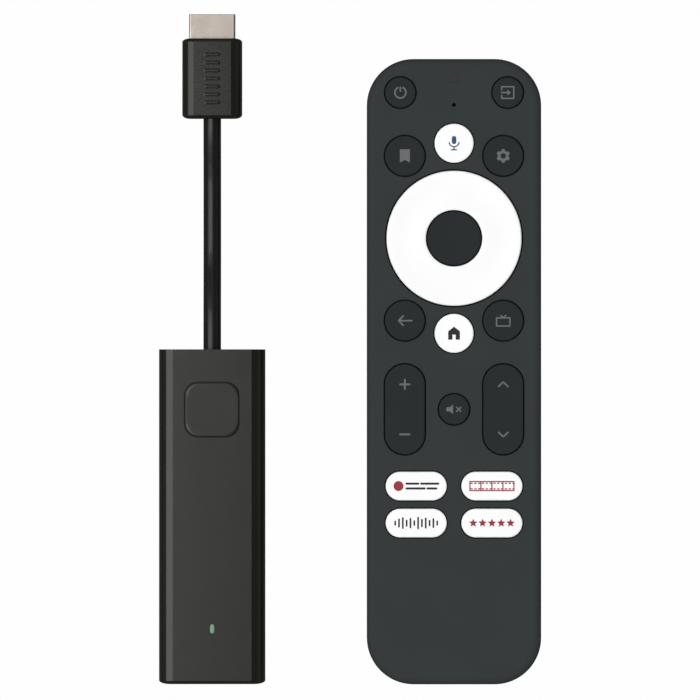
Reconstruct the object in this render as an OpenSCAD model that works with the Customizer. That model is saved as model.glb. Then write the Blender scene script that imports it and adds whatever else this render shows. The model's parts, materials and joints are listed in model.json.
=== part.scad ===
// Streaming media player: an HDMI stick on a short captive cord, with its hand-held remote control.
// Both lie flat on the plane z = 0, long axes along Y, remote on the +X side.

/* [Stick case] */
// Width of the stick's case
stick_w = 31.9; // [30:0.1:34]
// Length of the stick's case
stick_l = 100.5; // [98:0.5:110]
// Thickness of the stick's case
stick_h = 14; // [13.8:0.1:14.6]
// Rounding along the case's long edges
stick_edge_r = 4; // [2.5:0.1:4.5]
// Rounding of the case's far end
stick_end_r = 1.2; // [1:0.1:2.4]
// Wall thickness of the case
stick_wall = 1.5; // [1.2:0.1:1.6]

/* [Stick button] */
// Side of the square push button
button_w = 16.2; // [14:0.1:18]
// Corner radius of the push button
button_r = 4; // [2:0.1:5]
// Gap between the button and its opening, all round
button_gap = 0.25; // [0.2:0.05:0.3]
// Distance from the cord end of the case to the button's centre
button_from_end = 18.1; // [17:0.1:20]
// How far the button travels when pressed
button_travel = 0.4; // [0.2:0.05:0.4]

/* [Cord and plug] */
// Diameter of the cord
cord_d = 5.3; // [4.5:0.1:5.3]
// Distance from the stick's case to the plug's grip
cord_span = 69.3; // [69.3:0.1:69.3]
// Width of the plug's moulded grip
grip_w = 18; // [17.5:0.1:21]
// Length of the plug's moulded grip
grip_l = 24.1; // [22:0.1:35]
// Thickness of the plug's moulded grip
grip_h = 10.6; // [10:0.1:12]
// Length of metal shell that shows beyond the grip
tip_l = 7.3; // [7:0.1:12]

/* [Remote case] */
// Space between the stick and the remote
side_gap = 30.5; // [10:0.5:60]
// Width of the remote
remote_w = 52.3; // [52:0.1:54]
// Length of the remote
remote_l = 187.6; // [187:0.1:192]
// Thickness of the remote's case
remote_h = 19.5; // [19.5:0.1:20.5]
// Corner radius of the remote seen from the front
remote_r = 14; // [10:0.1:16]
// Rounding of the remote's front edge
front_edge_r = 2.4; // [1:0.1:3]
// Rounding of the remote's rear edge
rear_edge_r = 5; // [3:0.1:6]
// Wall thickness of the remote's case
remote_wall = 1.6; // [1.4:0.1:1.8]

/* [Remote keys] */
// Diameter of the power, input and mute keys
small_key_d = 9.2; // [8:0.1:9.4]
// Diameter of the other round dark keys
large_key_d = 12; // [11:0.1:12.2]
// Diameter of the two round white keys
white_key_d = 11.7; // [10.5:0.1:11.9]
// Outer diameter of the direction ring
ring_d = 40.5; // [39:0.1:40.5]
// Diameter of the centre key inside the ring
centre_key_d = 16.2; // [14:0.1:16.8]
// Length of the volume and channel rockers
rocker_l = 27.1; // [24:0.1:27.5]
// Length of an app key
app_key_l = 18.3; // [16:0.1:18.5]
// Width of an app key
app_key_w = 8.6; // [7:0.1:8.8]
// Gap between a key and its opening, all round
key_gap = 0.35; // [0.3:0.05:0.4]
// How far the keys stand out of the front face
key_proud = 0.5; // [0.2:0.05:0.7]
// How far a key travels when pressed
key_travel = 0.7; // [0.4:0.05:0.7]

/* [Batteries] */
// Diameter of one cell
cell_d = 10.5; // [10:0.1:10.5]
// Length of one cell with its nose
cell_l = 44.5; // [43.5:0.1:44.5]

/* [Hidden] */
$fn = 64;
skin = 0.05; // a fixed piece stands this far off the piece that holds it
eps = 1; // how far a cutter runs past the face it opens

// Both items in plan: the origin is the middle of the two cases' common box
total_w = stick_w + side_gap + remote_w;
stick_x = (stick_w - total_w) / 2;
stick_y = (stick_l - remote_l) / 2;
stick_end_y = stick_y + stick_l / 2;
stick_far_y = stick_y - stick_l / 2;
remote_x = (total_w - remote_w) / 2;

// Levels inside the stick
stick_part_z = stick_h / 2;
stick_floor_z = stick_wall;
stick_roof_z = stick_h - stick_wall;
board_z = 5;
board_t = 1;
board_top_z = board_z + board_t;
board_w = 27;
board_l = 88;
post_r = 1.9;
post_x = 11.3;
post_y = 41.2;
post_mid_y = stick_y - 0.5;
screw_l = 3.6;
screw_r = 0.75;
pilot_r = screw_r + skin;
button_y = stick_end_y - button_from_end;
lamp_from_end = 83.9;
lamp_y = stick_end_y - lamp_from_end;
lamp_w = 1.4;
lamp_l = 2.9;
can_w = 24;
can_l = 36;
can_h = 1.9;
can_y = -47;
pad_t = 0.7;
spreader_z = board_top_z + can_h + pad_t;
port_w = 8.94;
port_h = 3.26;
port_l = 7.3;
port_y = stick_far_y + 0.5;
port_z = board_top_z + port_h / 2;
port_gap = 0.25;
switch_w = 6.2;
switch_h = 3.4;
switch_cap_h = 0.6;
switch_cap_r = 1.75;
hook_w = 6;
hook_t = 0.8;
hook_h = 2;
hook_rows = [-36, 8, 44];
tail_l = 5.6;

// The cord's route from the case to the plug, as Y and Z from the end of the stick's case
cord_r = cord_d / 2;
cord_z = stick_part_z;
grommet_wall = 1.3;
grommet_r = cord_r + grommet_wall;
grommet_lip = 0.8;
cord_route = [
    [0, 7], [5, 7], [10, 6.7], [15, 5.9], [20, 4.7], [25, 3.5], [30, 2.85], [35, 2.65],
    [40, 2.65], [45, 2.65], [50, 2.85], [55, 3.55], [60, 4.45], [64, 5.05], [67, 5.3], [69.3, 5.3]
];
cord_sides = 12;

// The plug
grip_y = stick_end_y + cord_span;
grip_front_y = grip_y + grip_l;
grip_edge_r = 3.3;
grip_end_r = 0.9;
plug_z = grip_h / 2;
tip_y = grip_front_y + tip_l;
plug_w = 13.9;
plug_h = 4.45;
plug_wall = 0.35;
plug_buried = 8;
slot_w = 11.7;
slot_h = 1.9;
slot_buried = 2;
rib_count = 7;
rib_pitch = 2.4;
rib_w = 5;
rib_l = 1;
rib_h = 0.25;
window_pitch = 6.4;
window_size = [2.2, 1.8];
window_from_tip = 4.6;

// Levels inside the remote
remote_part_z = 8.5;
face_z = remote_h - remote_wall;
flange_t = 0.9;
flange_reach = 0.75;
flange_z = face_z - 0.1 - flange_t;
mat_z = 14.6;
mat_t = 0.5;
mat_top_z = mat_z + mat_t;
circuit_t = 1;
circuit_z = mat_z - circuit_t;
stem_r = 2;
stem_z = mat_top_z + key_travel + 0.1;
stem_clear = 0.4;
mat_mic_r = 2.2;
collar_r = 3.6;
collar_h = flange_z - key_travel - mat_top_z - 0.1;
key_top_z = remote_h + key_proud;
key_edge_r = 0.4;

// Key positions, from the remote's centre
corner_column = 16.1;
side_column = 14.75;
app_column = 11.35;
top_row = 83.7;
upper_row = 64.7;
assistant_row = 68.5;
ring_row = 40;
lower_row = 15.3;
home_row = 11.5;
rocker_row = -11.3;
app_rows = [-34.3, -45.4];
mic_row = 80;
indicator_row = 87.9;
rocker_stem_y = 8.5;
rocker_flange_l = 8;
rocker_flange_t = 0.7;
rocker_axis_z = 17.2;
rocker_rib_r = 1;
rocker_rib_l = 8;
app_flange_reach = 0.7;
indicator_r = 1.2;
mic_r = 0.6;

ring_r = ring_d / 2;
ring_gap = key_gap + 0.1;
ring_edge_r = 0.6;
centre_r = centre_key_d / 2;
ring_top_z = remote_h + key_proud + 0.1;
ring_flange_z = 16.2;
ring_flange_t = 0.7;
ring_flange_r = ring_r + 1.35;
pivot_ring_z = 15.6;
pivot_ring_t = 0.5;
pivot_ring_r = 13;
pivot_hole_r = centre_r + 2.1;
pivot_axis_z = 15.8;
pivot_rib_r = 0.65;
centre_flange_r = centre_r + 1;
centre_flange_t = 1;
ring_clear = 0.5;
centre_recess = 1.5;
pivot_recess = 0.4;

// The rest of the remote
cell_z = 7.45;
cell_pitch = 11.5;
bay_l = 52.4;
bay_y = 2.8 - remote_l / 2;
bay_w = 2 * cell_pitch + 3;
bay_wall = 1.2;
bay_in_y = bay_y + bay_wall;
bay_end_y = bay_y + bay_l - bay_wall;
bay_roof_z = 12.8;
bay_roof_t = 0.7;
bay_rim_z = 4;
contact_t = 0.4;
coil_wire_r = 0.3;
coil_r = 2.6;
coil_turns = 3;

// Where a cell's flat end is: the left cell's nose points up the remote and the right cell's down
left_flat_y = bay_end_y - contact_t - skin - cell_l;
right_flat_y = bay_in_y + contact_t + skin + cell_l;

// The cover, the screwed ears and the openings in the case
cover_end_y = -31;
cover_gap = 0.25;
cover_seam = 0.15;
latch_w = 6;
latch_l = 3;
latch_t = 1.2;
latch_x = 17;
remote_hook_rows = [-16, 20, 56];
ear_x = 17.5;
ear_y = -62;
ear_z = 8;
ear_t = 1.5;
ear_w = 6;
boss_r = 2.6;
long_screw_l = 6;
window_w = 12;
window_h = 4.4;
window_z = 11;
circuit_w = 42;
circuit_top_y = 90.5;
circuit_end_y = -53.5;

// Colours
case_black = [0.2, 0.2, 0.19];
grip_black = [0.17, 0.17, 0.17];
cord_black = [0.1, 0.1, 0.1];
remote_grey = [0.22, 0.235, 0.24];
key_grey = [0.18, 0.195, 0.2];
key_white = [0.96, 0.96, 0.96];
board_green = [0.06, 0.3, 0.16];
chip_black = [0.08, 0.08, 0.09];
bright_metal = [0.76, 0.72, 0.67];
dull_metal = [0.6, 0.6, 0.58];
gold = [0.85, 0.65, 0.25];
rubber_grey = [0.3, 0.3, 0.32];
lamp_green = [0.3, 0.85, 0.35];
window_red = [0.25, 0.05, 0.05];
cell_blue = [0.12, 0.2, 0.35];

// Round keys: name, place from the remote's centre, diameter and colour
ROUND_KEYS = [
    ["power_key", [-corner_column, top_row], small_key_d, key_grey],
    ["input_key", [corner_column, top_row], small_key_d, key_grey],
    ["bookmark_key", [-side_column, upper_row], large_key_d, key_grey],
    ["assistant_key", [0, assistant_row], white_key_d, key_white],
    ["settings_key", [side_column, upper_row], large_key_d, key_grey],
    ["back_key", [-side_column, lower_row], large_key_d, key_grey],
    ["home_key", [0, home_row], white_key_d, key_white],
    ["live_tv_key", [side_column, lower_row], large_key_d, key_grey],
    ["mute_key", [0, rocker_row], small_key_d, key_grey]
];
// Rockers: name and place
ROCKERS = [
    ["volume_rocker", [-side_column, rocker_row]],
    ["channel_rocker", [side_column, rocker_row]]
];
// App keys: name and place
APP_KEYS = [for (row = [0, 1], side = [0, 1])
    [str("app_key_", 2 * row + side + 1), [(2 * side - 1) * app_column, app_rows[row]]]];

FIXED_NODES = [
    "stick_top_shell", "stick_bottom_shell", "stick_board", "stick_shield_can", "stick_chips",
    "stick_thermal_pad", "stick_heat_spreader", "stick_antennas", "stick_switch", "stick_led",
    "stick_light_pipe", "stick_power_port", "stick_port_tongue", "stick_screws", "stick_button",
    "cable_grommet", "cable_tail", "cable_ferrule", "cable_wires", "cord", "plug_grip", "plug_shell",
    "plug_insulator", "plug_contacts", "remote_front_shell", "remote_rear_shell", "remote_board",
    "remote_chips", "keypad_mat", "battery_tray", "battery_left", "battery_right", "battery_springs",
    "battery_contacts", "ir_window", "ir_emitter", "indicator_window", "microphone", "remote_screws",
    "battery_cover", "ring_pivot", "direction_ring", "centre_key"
];

// ---------- shared shapes ----------

// A rectangle with round corners, about its centre
module outline(w, l, r) {
    if (w - 2 * r > 0.01) square([w - 2 * r, l], center = true);
    if (l - 2 * r > 0.01) square([w, l - 2 * r], center = true);
    for (x = w - 2 * r > 0.01 ? [-1, 1] : [0], y = l - 2 * r > 0.01 ? [-1, 1] : [0])
        translate([x * (w / 2 - r), y * (l / 2 - r)]) circle(r);
}

// An upright prism on that outline
module plate(w, l, h, r) {
    linear_extrude(h) outline(w, l, r);
}

// The half section of a slab from its axis out to radius r, with rounded rims
module rim_section(r, h, top, bottom) {
    difference() {
        square([r, h]);
        if (top > 0) translate([r - top, h - top]) rim_cut(top);
        if (bottom > 0) translate([r - bottom, bottom]) mirror([0, 1]) rim_cut(bottom);
    }
}

// What rounding a corner to radius r takes away
module rim_cut(r) {
    difference() {
        square(r + 1);
        circle(r);
    }
}

// A flat slab, w by l by h, with corner radius r in plan and rounded top and bottom rims
module slab(w, l, h, r, top = 0, bottom = 0) {
    wide = w - 2 * r > 0.01;
    long = l - 2 * r > 0.01;
    for (i = [0:3])
        rotate(90 * i)
            translate((i % 2 == 0) ? [w / 2 - r, l / 2 - r] : [l / 2 - r, w / 2 - r])
                rotate_extrude(angle = 90) rim_section(r, h, top, bottom);
    if (long) for (s = [0, 1])
        rotate(180 * s) translate([w / 2 - r, l / 2 - r]) rotate([90, 0, 0])
            linear_extrude(l - 2 * r) rim_section(r, h, top, bottom);
    if (wide) for (s = [0, 1])
        rotate(180 * s) translate([r - w / 2, l / 2 - r]) rotate([90, 0, 90])
            linear_extrude(w - 2 * r) rim_section(r, h, top, bottom);
    if (wide && long) translate([r - w / 2, r - l / 2]) cube([w - 2 * r, l - 2 * r, h]);
}

// A round disc with a rounded upper rim
module disc(r, h, top) {
    rotate_extrude() rim_section(r, h, top, 0);
}

// A bar along Y about its centre: edge_r rounds its long edges, end_r its ends; a square front stays sharp
module bar(w, l, h, edge_r, end_r, square_front = false) {
    intersection() {
        rotate([90, 0, 0]) linear_extrude(l, center = true) outline(w, h, edge_r);
        linear_extrude(h + 1, center = true) bar_end(w, l, end_r, square_front);
        rotate([0, 90, 0]) rotate(90) mirror([1, 0]) rotate(-90)
            linear_extrude(w + 1, center = true) bar_end(h, l, end_r, square_front);
    }
}

module bar_end(w, l, r, square_front) {
    outline(w, l, r);
    if (square_front) translate([-w / 2, l / 2 - r - 1]) square([w, r + 1]);
}

// A pan-head screw, head up, its seat at z = 0
module screw(r, shank) {
    difference() {
        union() {
            cylinder(r = 2 * r, h = 1.1 * r);
            translate([0, 0, -shank]) cylinder(r = r, h = shank);
        }
        for (a = [0, 90]) rotate(a) translate([-1.2 * r, -0.2 * r, 0.5 * r]) cube([2.4 * r, 0.4 * r, r]);
    }
}

// ---------- stick ----------

module stick_outside() {
    translate([stick_x, stick_y, stick_h / 2])
        bar(stick_w, stick_l, stick_h, stick_edge_r, stick_end_r, true);
}

module stick_inside() {
    translate([stick_x, stick_y, stick_h / 2]) rotate([90, 0, 0])
        linear_extrude(stick_l - 2 * stick_wall, center = true)
            outline(stick_w - 2 * stick_wall, stick_h - 2 * stick_wall, stick_edge_r - stick_wall);
}

// The openings in the two end walls, which both half shells share
module stick_end_openings() {
    depth = stick_wall + 2 * eps;
    translate([stick_x, stick_end_y + eps, cord_z]) rotate([90, 0, 0])
        cylinder(r = grommet_r, h = depth);
    translate([stick_x, stick_far_y + stick_wall + eps, port_z]) rotate([90, 0, 0])
        plate(port_w + 2 * port_gap, port_h + 2 * port_gap, depth, port_h / 2 + port_gap);
}

module stick_half(low, high) {
    difference() {
        intersection() {
            stick_outside();
            translate([stick_x - stick_w, stick_y - stick_l, low])
                cube([2 * stick_w, 2 * stick_l, high - low]);
        }
        stick_inside();
        stick_end_openings();
        children();
    }
}

module stick_top_shell() {
    opening_w = button_w + 2 * button_gap;
    depth = stick_wall + 2 * eps;
    color(case_black) stick_half(stick_part_z, stick_h + eps) {
        translate([stick_x, button_y, stick_roof_z - eps])
            plate(opening_w, opening_w, depth, button_r + button_gap);
        translate([stick_x, lamp_y, stick_roof_z - eps]) plate(lamp_w, lamp_l, depth, lamp_w / 2);
    }
}

module stick_posts(r, low, high) {
    for (x = [-1, 1], y = [-1, 1])
        translate([stick_x + x * post_x, post_mid_y + y * post_y, low]) cylinder(r = r, h = high - low);
}

// Snap hooks grow out of one half shell's side walls below the seam and reach up inside the other half
module hooks(inside_w, rows, root_z, seam_z) {
    inner_x = inside_w / 2 - skin - hook_t;
    for (side = [0, 1], y = rows)
        mirror([side, 0, 0]) translate([inner_x, y - hook_w / 2, root_z]) {
            cube([hook_t, hook_w, seam_z + hook_h - root_z]);
            cube([hook_t + 2 * skin, hook_w, seam_z - root_z]);
        }
}

module stick_bottom_shell() {
    color(case_black) {
        stick_half(-eps, stick_part_z);
        difference() {
            stick_posts(post_r, stick_floor_z, board_z);
            stick_posts(pilot_r, stick_floor_z + 0.3, board_z + eps);
        }
        translate([stick_x, stick_y, 0])
            hooks(stick_w - 2 * stick_wall, hook_rows, board_top_z + 0.2, stick_part_z);
    }
}

module stick_board() {
    color(board_green) difference() {
        translate([stick_x, post_mid_y, board_z]) plate(board_w, board_l, board_t, 1.5);
        stick_posts(pilot_r + skin, board_z - eps, board_top_z + eps);
    }
}

module stick_shield_can() {
    wall = 0.2;
    corner_r = 1;
    vent_r = 0.6;
    vent_pitch = [3, 15];
    color(bright_metal) translate([stick_x, can_y, board_top_z]) difference() {
        plate(can_w, can_l, can_h, corner_r);
        translate([0, 0, -eps])
            plate(can_w - 2 * wall, can_l - 2 * wall, can_h + eps - wall, corner_r - wall);
        for (x = [-3:3], y = [-1:1])
            translate([vent_pitch.x * x, vent_pitch.y * y, can_h - eps]) cylinder(r = vent_r, h = 2 * eps);
    }
}

// Processor, two memories and flash under the can, radio module and power regulator beside it
module stick_chips() {
    chips = [
        [0, -6, 12, 12, 1.1], [-6, 8, 8, 11, 0.9], [6, 8, 8, 11, 0.9],
        [0, 27, 13, 8, 1.6], [-7, -26, 5, 5, 1], [7, -25, 4, 6, 1.2]
    ];
    color(chip_black) for (c = chips)
        translate([stick_x + c[0] - c[2] / 2, can_y + c[1] - c[3] / 2, board_top_z])
            cube([c[2], c[3], c[4]]);
}

module stick_thermal_pad() {
    color("lightsteelblue") translate([stick_x, can_y, board_top_z + can_h]) plate(18, 26, pad_t, 0.5);
}

module stick_heat_spreader() {
    color("silver") translate([stick_x, can_y - 1, spreader_z]) plate(25, 44, 1, 2);
}

module stick_antennas() {
    strip = [0.3, 20, 3.4];
    side_x = stick_w / 2 - stick_wall - strip.x / 2 - skin;
    along_y = 30;
    centre_z = 8;
    color(gold) for (s = [-1, 1])
        translate([stick_x + s * side_x, can_y + along_y, centre_z]) cube(strip, center = true);
}

module stick_switch() {
    color(dull_metal) translate([stick_x, button_y, board_top_z]) {
        translate([-switch_w / 2, -switch_w / 2, 0]) cube([switch_w, switch_w, switch_h]);
        translate([0, 0, switch_h]) cylinder(r = switch_cap_r, h = switch_cap_h);
    }
}

module stick_led() {
    led = [1.6, 1, 0.7];
    color("white") translate([stick_x - led.x / 2, lamp_y - led.y / 2, board_top_z]) cube(led);
}

module stick_light_pipe() {
    foot_z = board_top_z + 1.2;
    foot_reach = 0.8;
    foot_r = 1.2;
    color(lamp_green) translate([stick_x, lamp_y, 0]) {
        translate([0, 0, foot_z])
            plate(lamp_w + 2 * foot_reach, lamp_l + 2 * foot_reach, stick_roof_z - foot_z - skin, foot_r);
        translate([0, 0, stick_roof_z - eps])
            plate(lamp_w - 2 * skin, lamp_l - 2 * skin, stick_wall + eps - skin, lamp_w / 2 - skin);
    }
}

module stick_power_port() {
    wall = 0.3;
    back_t = 0.6;
    color(bright_metal) translate([stick_x, port_y, port_z]) rotate([-90, 0, 0]) difference() {
        plate(port_w, port_h, port_l, port_h / 2);
        translate([0, 0, -eps])
            plate(port_w - 2 * wall, port_h - 2 * wall, port_l + eps - back_t, port_h / 2 - wall);
    }
}

module stick_port_tongue() {
    tongue = [6.6, port_l - 1.4, 0.7];
    set_back = 0.8;
    color(chip_black) translate([stick_x - tongue.x / 2, port_y + set_back, port_z - tongue.z / 2])
        cube(tongue);
}

module stick_screws() {
    color(dull_metal) for (x = [-1, 1], y = [-1, 1])
        translate([stick_x + x * post_x, post_mid_y + y * post_y, board_top_z]) screw(screw_r, screw_l);
}

module stick_button() {
    rim = 1.2;
    rim_t = 0.8;
    edge_r = 0.3;
    plunger_r = 2;
    rim_z = stick_roof_z - 2 * skin - rim_t;
    plunger_z = board_top_z + switch_h + switch_cap_h + skin + button_travel;
    color(case_black) translate([stick_x, button_y, 0]) {
        translate([0, 0, rim_z]) slab(button_w, button_w, stick_h - rim_z, button_r, edge_r);
        translate([0, 0, rim_z]) plate(button_w + 2 * rim, button_w + 2 * rim, rim_t, button_r + rim);
        translate([0, 0, plunger_z]) cylinder(r = plunger_r, h = rim_z - plunger_z);
    }
}

// ---------- cord and plug ----------

module cable_grommet() {
    lip = 1.1;
    color(cord_black) translate([stick_x, stick_end_y, cord_z]) rotate([90, 0, 0]) difference() {
        union() {
            cylinder(r = grommet_r - skin, h = stick_wall + lip);
            translate([0, 0, stick_wall + skin]) cylinder(r = grommet_r + grommet_lip, h = lip);
        }
        translate([0, 0, -eps]) cylinder(r = cord_r + skin, h = stick_wall + lip + 2 * eps);
    }
}

module cable_tail() {
    color(cord_black) translate([stick_x, stick_end_y, cord_z]) rotate([90, 0, 0])
        cylinder(r = cord_r, h = tail_l);
}

module cable_ferrule() {
    wall = 0.6;
    length = 2.4;
    from_end = 2.9;
    color(bright_metal) translate([stick_x, stick_end_y - from_end, cord_z]) rotate([90, 0, 0])
        difference() {
            cylinder(r = cord_r + wall, h = length);
            translate([0, 0, -eps]) cylinder(r = cord_r + skin, h = length + 2 * eps);
        }
}

module cable_wires() {
    wire_r = 0.4;
    wire_l = 3.4;
    color("orangered") for (i = [-2:2])
        translate([stick_x + i, stick_end_y - tail_l, board_top_z + wire_r + skin]) rotate([90, 0, 0])
            cylinder(r = wire_r, h = wire_l);
}

// One ring of the cord's tube at route point i, square to the route there
function route_slope(i) =
    let (a = cord_route[max(i - 1, 0)], b = cord_route[min(i + 1, len(cord_route) - 1)])
    (i == 0 || i == len(cord_route) - 1) ? 0 : atan2(b[1] - a[1], b[0] - a[0]);
function cord_ring(i) = [for (s = [0:cord_sides - 1])
    let (a = 360 * s / cord_sides, up = cord_r * sin(a), t = route_slope(i))
    [cord_r * cos(a), cord_route[i][0] - up * sin(t), cord_route[i][1] + up * cos(t)]];

module cord() {
    rings = len(cord_route);
    points = [for (i = [0:rings - 1]) each cord_ring(i)];
    walls = [for (i = [0:rings - 2], s = [0:cord_sides - 1])
        let (a = i * cord_sides + s, b = i * cord_sides + (s + 1) % cord_sides)
        [a, a + cord_sides, b + cord_sides, b]];
    first = [for (s = [0:cord_sides - 1]) s];
    last = [for (s = [cord_sides - 1:-1:0]) (rings - 1) * cord_sides + s];
    color(cord_black) translate([stick_x, stick_end_y, 0]) polyhedron(points, concat(walls, [first, last]));
}

// The plug's section: flat and wide on top, with its lower corners cut away
module plug_section(inset) {
    half_w = plug_w / 2 - inset;
    half_h = plug_h / 2 - inset;
    foot = plug_w / 2 - 1.8 - 0.6 * inset;
    step_z = 0.4 * inset - 0.55;
    polygon([
        [-half_w, half_h], [-half_w, step_z], [-foot, -half_h],
        [foot, -half_h], [half_w, step_z], [half_w, half_h]
    ]);
}

module plug_prism(inset, from_y, to_y) {
    translate([stick_x, to_y, plug_z]) rotate([90, 0, 0]) linear_extrude(to_y - from_y) plug_section(inset);
}

module plug_grip() {
    middle_y = grip_y + grip_l / 2;
    color(grip_black) difference() {
        union() {
            translate([stick_x, middle_y, plug_z]) bar(grip_w, grip_l, grip_h, grip_edge_r, grip_end_r);
            for (i = [0:rib_count - 1])
                translate([stick_x, middle_y + (i - (rib_count - 1) / 2) * rib_pitch, grip_h - eps])
                    plate(rib_w, rib_l, rib_h + eps, rib_l / 2 - skin);
        }
        plug_prism(-skin, grip_front_y - plug_buried - skin, grip_front_y + eps);
    }
}

module plug_shell() {
    color(bright_metal) difference() {
        plug_prism(0, grip_front_y - plug_buried, tip_y);
        plug_prism(plug_wall, grip_front_y - plug_buried - eps, tip_y + eps);
        for (x = [-1, 1])
            translate([stick_x + (window_pitch * x - window_size.x) / 2, tip_y - window_from_tip, 0])
                cube([window_size.x, window_size.y, plug_z - eps]);
    }
}

module plug_insulator() {
    color(chip_black) difference() {
        plug_prism(plug_wall + skin, grip_front_y - plug_buried, tip_y - 0.8);
        translate([stick_x - slot_w / 2, grip_front_y - slot_buried, plug_z - slot_h / 2])
            cube([slot_w, slot_buried + tip_l + eps, slot_h]);
    }
}

// Ten contacts on the slot's upper face and nine on its lower face
module plug_contacts() {
    strip = [0.4, tip_l - 0.2, 0.25];
    start_y = grip_front_y - 1.5;
    left_x = stick_x - strip.x / 2;
    color(gold) {
        for (i = [0:9]) translate([left_x + i - 4.5, start_y, plug_z + slot_h / 2 - strip.z]) cube(strip);
        for (i = [0:8]) translate([left_x + i - 4, start_y, plug_z - slot_h / 2]) cube(strip);
    }
}

// ---------- remote case ----------

module at_remote(place = [0, 0], z = 0) {
    translate([remote_x + place[0], place[1], z]) children();
}

module remote_outside() {
    at_remote() slab(remote_w, remote_l, remote_h, remote_r, front_edge_r, rear_edge_r);
}

module remote_inside() {
    at_remote(z = remote_wall)
        slab(remote_w - 2 * remote_wall, remote_l - 2 * remote_wall, remote_h - 2 * remote_wall,
            remote_r - remote_wall, max(front_edge_r - remote_wall, 0.3), rear_edge_r - remote_wall);
}

module remote_shell() {
    difference() {
        remote_outside();
        remote_inside();
    }
}

// Everything of the remote between two heights and from one Y to another
module remote_block(low, high, from_y, to_y) {
    at_remote() translate([-remote_w, from_y, low]) cube([2 * remote_w, to_y - from_y, high - low]);
}

module key_openings() {
    depth = remote_wall + 2 * eps;
    for (k = ROUND_KEYS) at_remote(k[1], face_z - eps) cylinder(d = k[2] + 2 * key_gap, h = depth);
    for (k = ROCKERS) at_remote(k[1], face_z - eps)
        plate(large_key_d + 2 * key_gap, rocker_l + 2 * key_gap, depth, large_key_d / 2 + key_gap);
    for (k = APP_KEYS) at_remote(k[1], face_z - eps)
        plate(app_key_l + 2 * key_gap, app_key_w + 2 * key_gap, depth, app_key_w / 2 + key_gap);
    at_remote([0, ring_row], face_z - eps) cylinder(r = ring_r + ring_gap, h = depth);
    at_remote([0, mic_row], face_z - eps) cylinder(r = mic_r, h = depth);
    at_remote([0, indicator_row], face_z - eps) cylinder(r = indicator_r + skin, h = depth);
}

module window_opening(clear) {
    at_remote([0, remote_l / 2 - remote_wall / 2], window_z + window_h / 2)
        cube([window_w + 2 * clear, remote_wall + 2, window_h + 2 * clear], center = true);
}

module remote_front_shell() {
    color(remote_grey) difference() {
        union() {
            intersection() {
                remote_shell();
                remote_block(remote_part_z, remote_h + 1, -remote_l, remote_l);
            }
            for (x = [-1, 1]) at_remote([x * ear_x, ear_y], ear_z + ear_t + skin)
                cylinder(r = boss_r, h = face_z - ear_z - ear_t - skin);
        }
        for (x = [-1, 1]) at_remote([x * ear_x, ear_y], ear_z) cylinder(r = pilot_r, h = long_screw_l + 0.5);
        key_openings();
        window_opening(skin);
    }
}

module remote_rear_shell() {
    color(remote_grey) {
        intersection() {
            remote_shell();
            remote_block(-1, remote_part_z, cover_end_y + cover_gap, remote_l);
        }
        at_remote()
            hooks(remote_w - 2 * remote_wall, remote_hook_rows, remote_part_z - hook_h, remote_part_z);
    }
}

module battery_cover() {
    color(remote_grey) {
        intersection() {
            remote_shell();
            remote_block(-1, remote_part_z - cover_seam, -remote_l, cover_end_y);
        }
        for (x = [-1, 1]) at_remote([x * latch_x - latch_w / 2, cover_end_y]) {
            translate([0, -latch_l, remote_wall]) cube([latch_w, latch_l, latch_t]);
            translate([0, -latch_l, remote_wall + cover_gap]) cube([latch_w, 2 * latch_l, latch_t]);
        }
    }
}

// ---------- inside the remote ----------

module remote_board() {
    color(board_green) at_remote([0, (circuit_top_y + circuit_end_y) / 2], circuit_z)
        plate(circuit_w, circuit_top_y - circuit_end_y, circuit_t, 9);
}

// Radio controller, memory and crystal on the underside of the board
module remote_chips() {
    chips = [[0, 60, 6, 6, 0.9], [9, 58, 4, 5, 0.9], [-8, 61, 3.2, 2.5, 0.8], [0, 40, 8, 10, 1.2]];
    color(chip_black) for (c = chips)
        at_remote([c[0] - c[2] / 2, c[1] - c[3] / 2], circuit_z - c[4]) cube([c[2], c[3], c[4]]);
}

// The rubber mat, with a collar round the stem of every key
module keypad_mat() {
    stems = concat(
        [for (k = concat(ROUND_KEYS, APP_KEYS)) k[1]],
        [for (k = ROCKERS, s = [-1, 1]) k[1] + [0, s * rocker_stem_y]]
    );
    color(rubber_grey) difference() {
        union() {
            at_remote([0, (circuit_top_y + circuit_end_y) / 2], mat_z)
                plate(circuit_w - 1, circuit_top_y - circuit_end_y - 1, mat_t, 8.5);
            for (p = stems) at_remote(p, mat_z) cylinder(r = collar_r, h = mat_t + collar_h);
            for (k = ROCKERS) at_remote(k[1] - [rocker_rib_l, 2 * rocker_rib_r] / 2, mat_z)
                cube([rocker_rib_l, 2 * rocker_rib_r, rocker_axis_z - rocker_rib_r - skin - mat_z]);
        }
        for (p = stems) at_remote(p, mat_top_z) cylinder(r = stem_r + stem_clear, h = collar_h + eps);
        at_remote([0, mic_row], mat_z - eps) cylinder(r = mat_mic_r, h = mat_t + 2 * eps);
        at_remote([0, indicator_row], mat_z - eps) cylinder(r = indicator_r + 0.3, h = mat_t + 2 * eps);
    }
}

module battery_tray() {
    color(remote_grey) difference() {
        union() {
            at_remote([-bay_w / 2, bay_y], bay_rim_z)
                cube([bay_w, bay_l, bay_roof_z + bay_roof_t - bay_rim_z]);
            for (x = [-1, 1]) at_remote([x * (ear_x + bay_w / 2) / 2, ear_y], ear_z + ear_t / 2)
                cube([ear_x - bay_w / 2 + ear_w, ear_w, ear_t], center = true);
        }
        at_remote([bay_wall - bay_w / 2, bay_in_y], -eps)
            cube([bay_w - 2 * bay_wall, bay_l - 2 * bay_wall, bay_roof_z + eps]);
        for (x = [-1, 1]) at_remote([x * ear_x, ear_y], ear_z - eps)
            cylinder(r = pilot_r + skin, h = ear_t + 2 * eps);
    }
}

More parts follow.
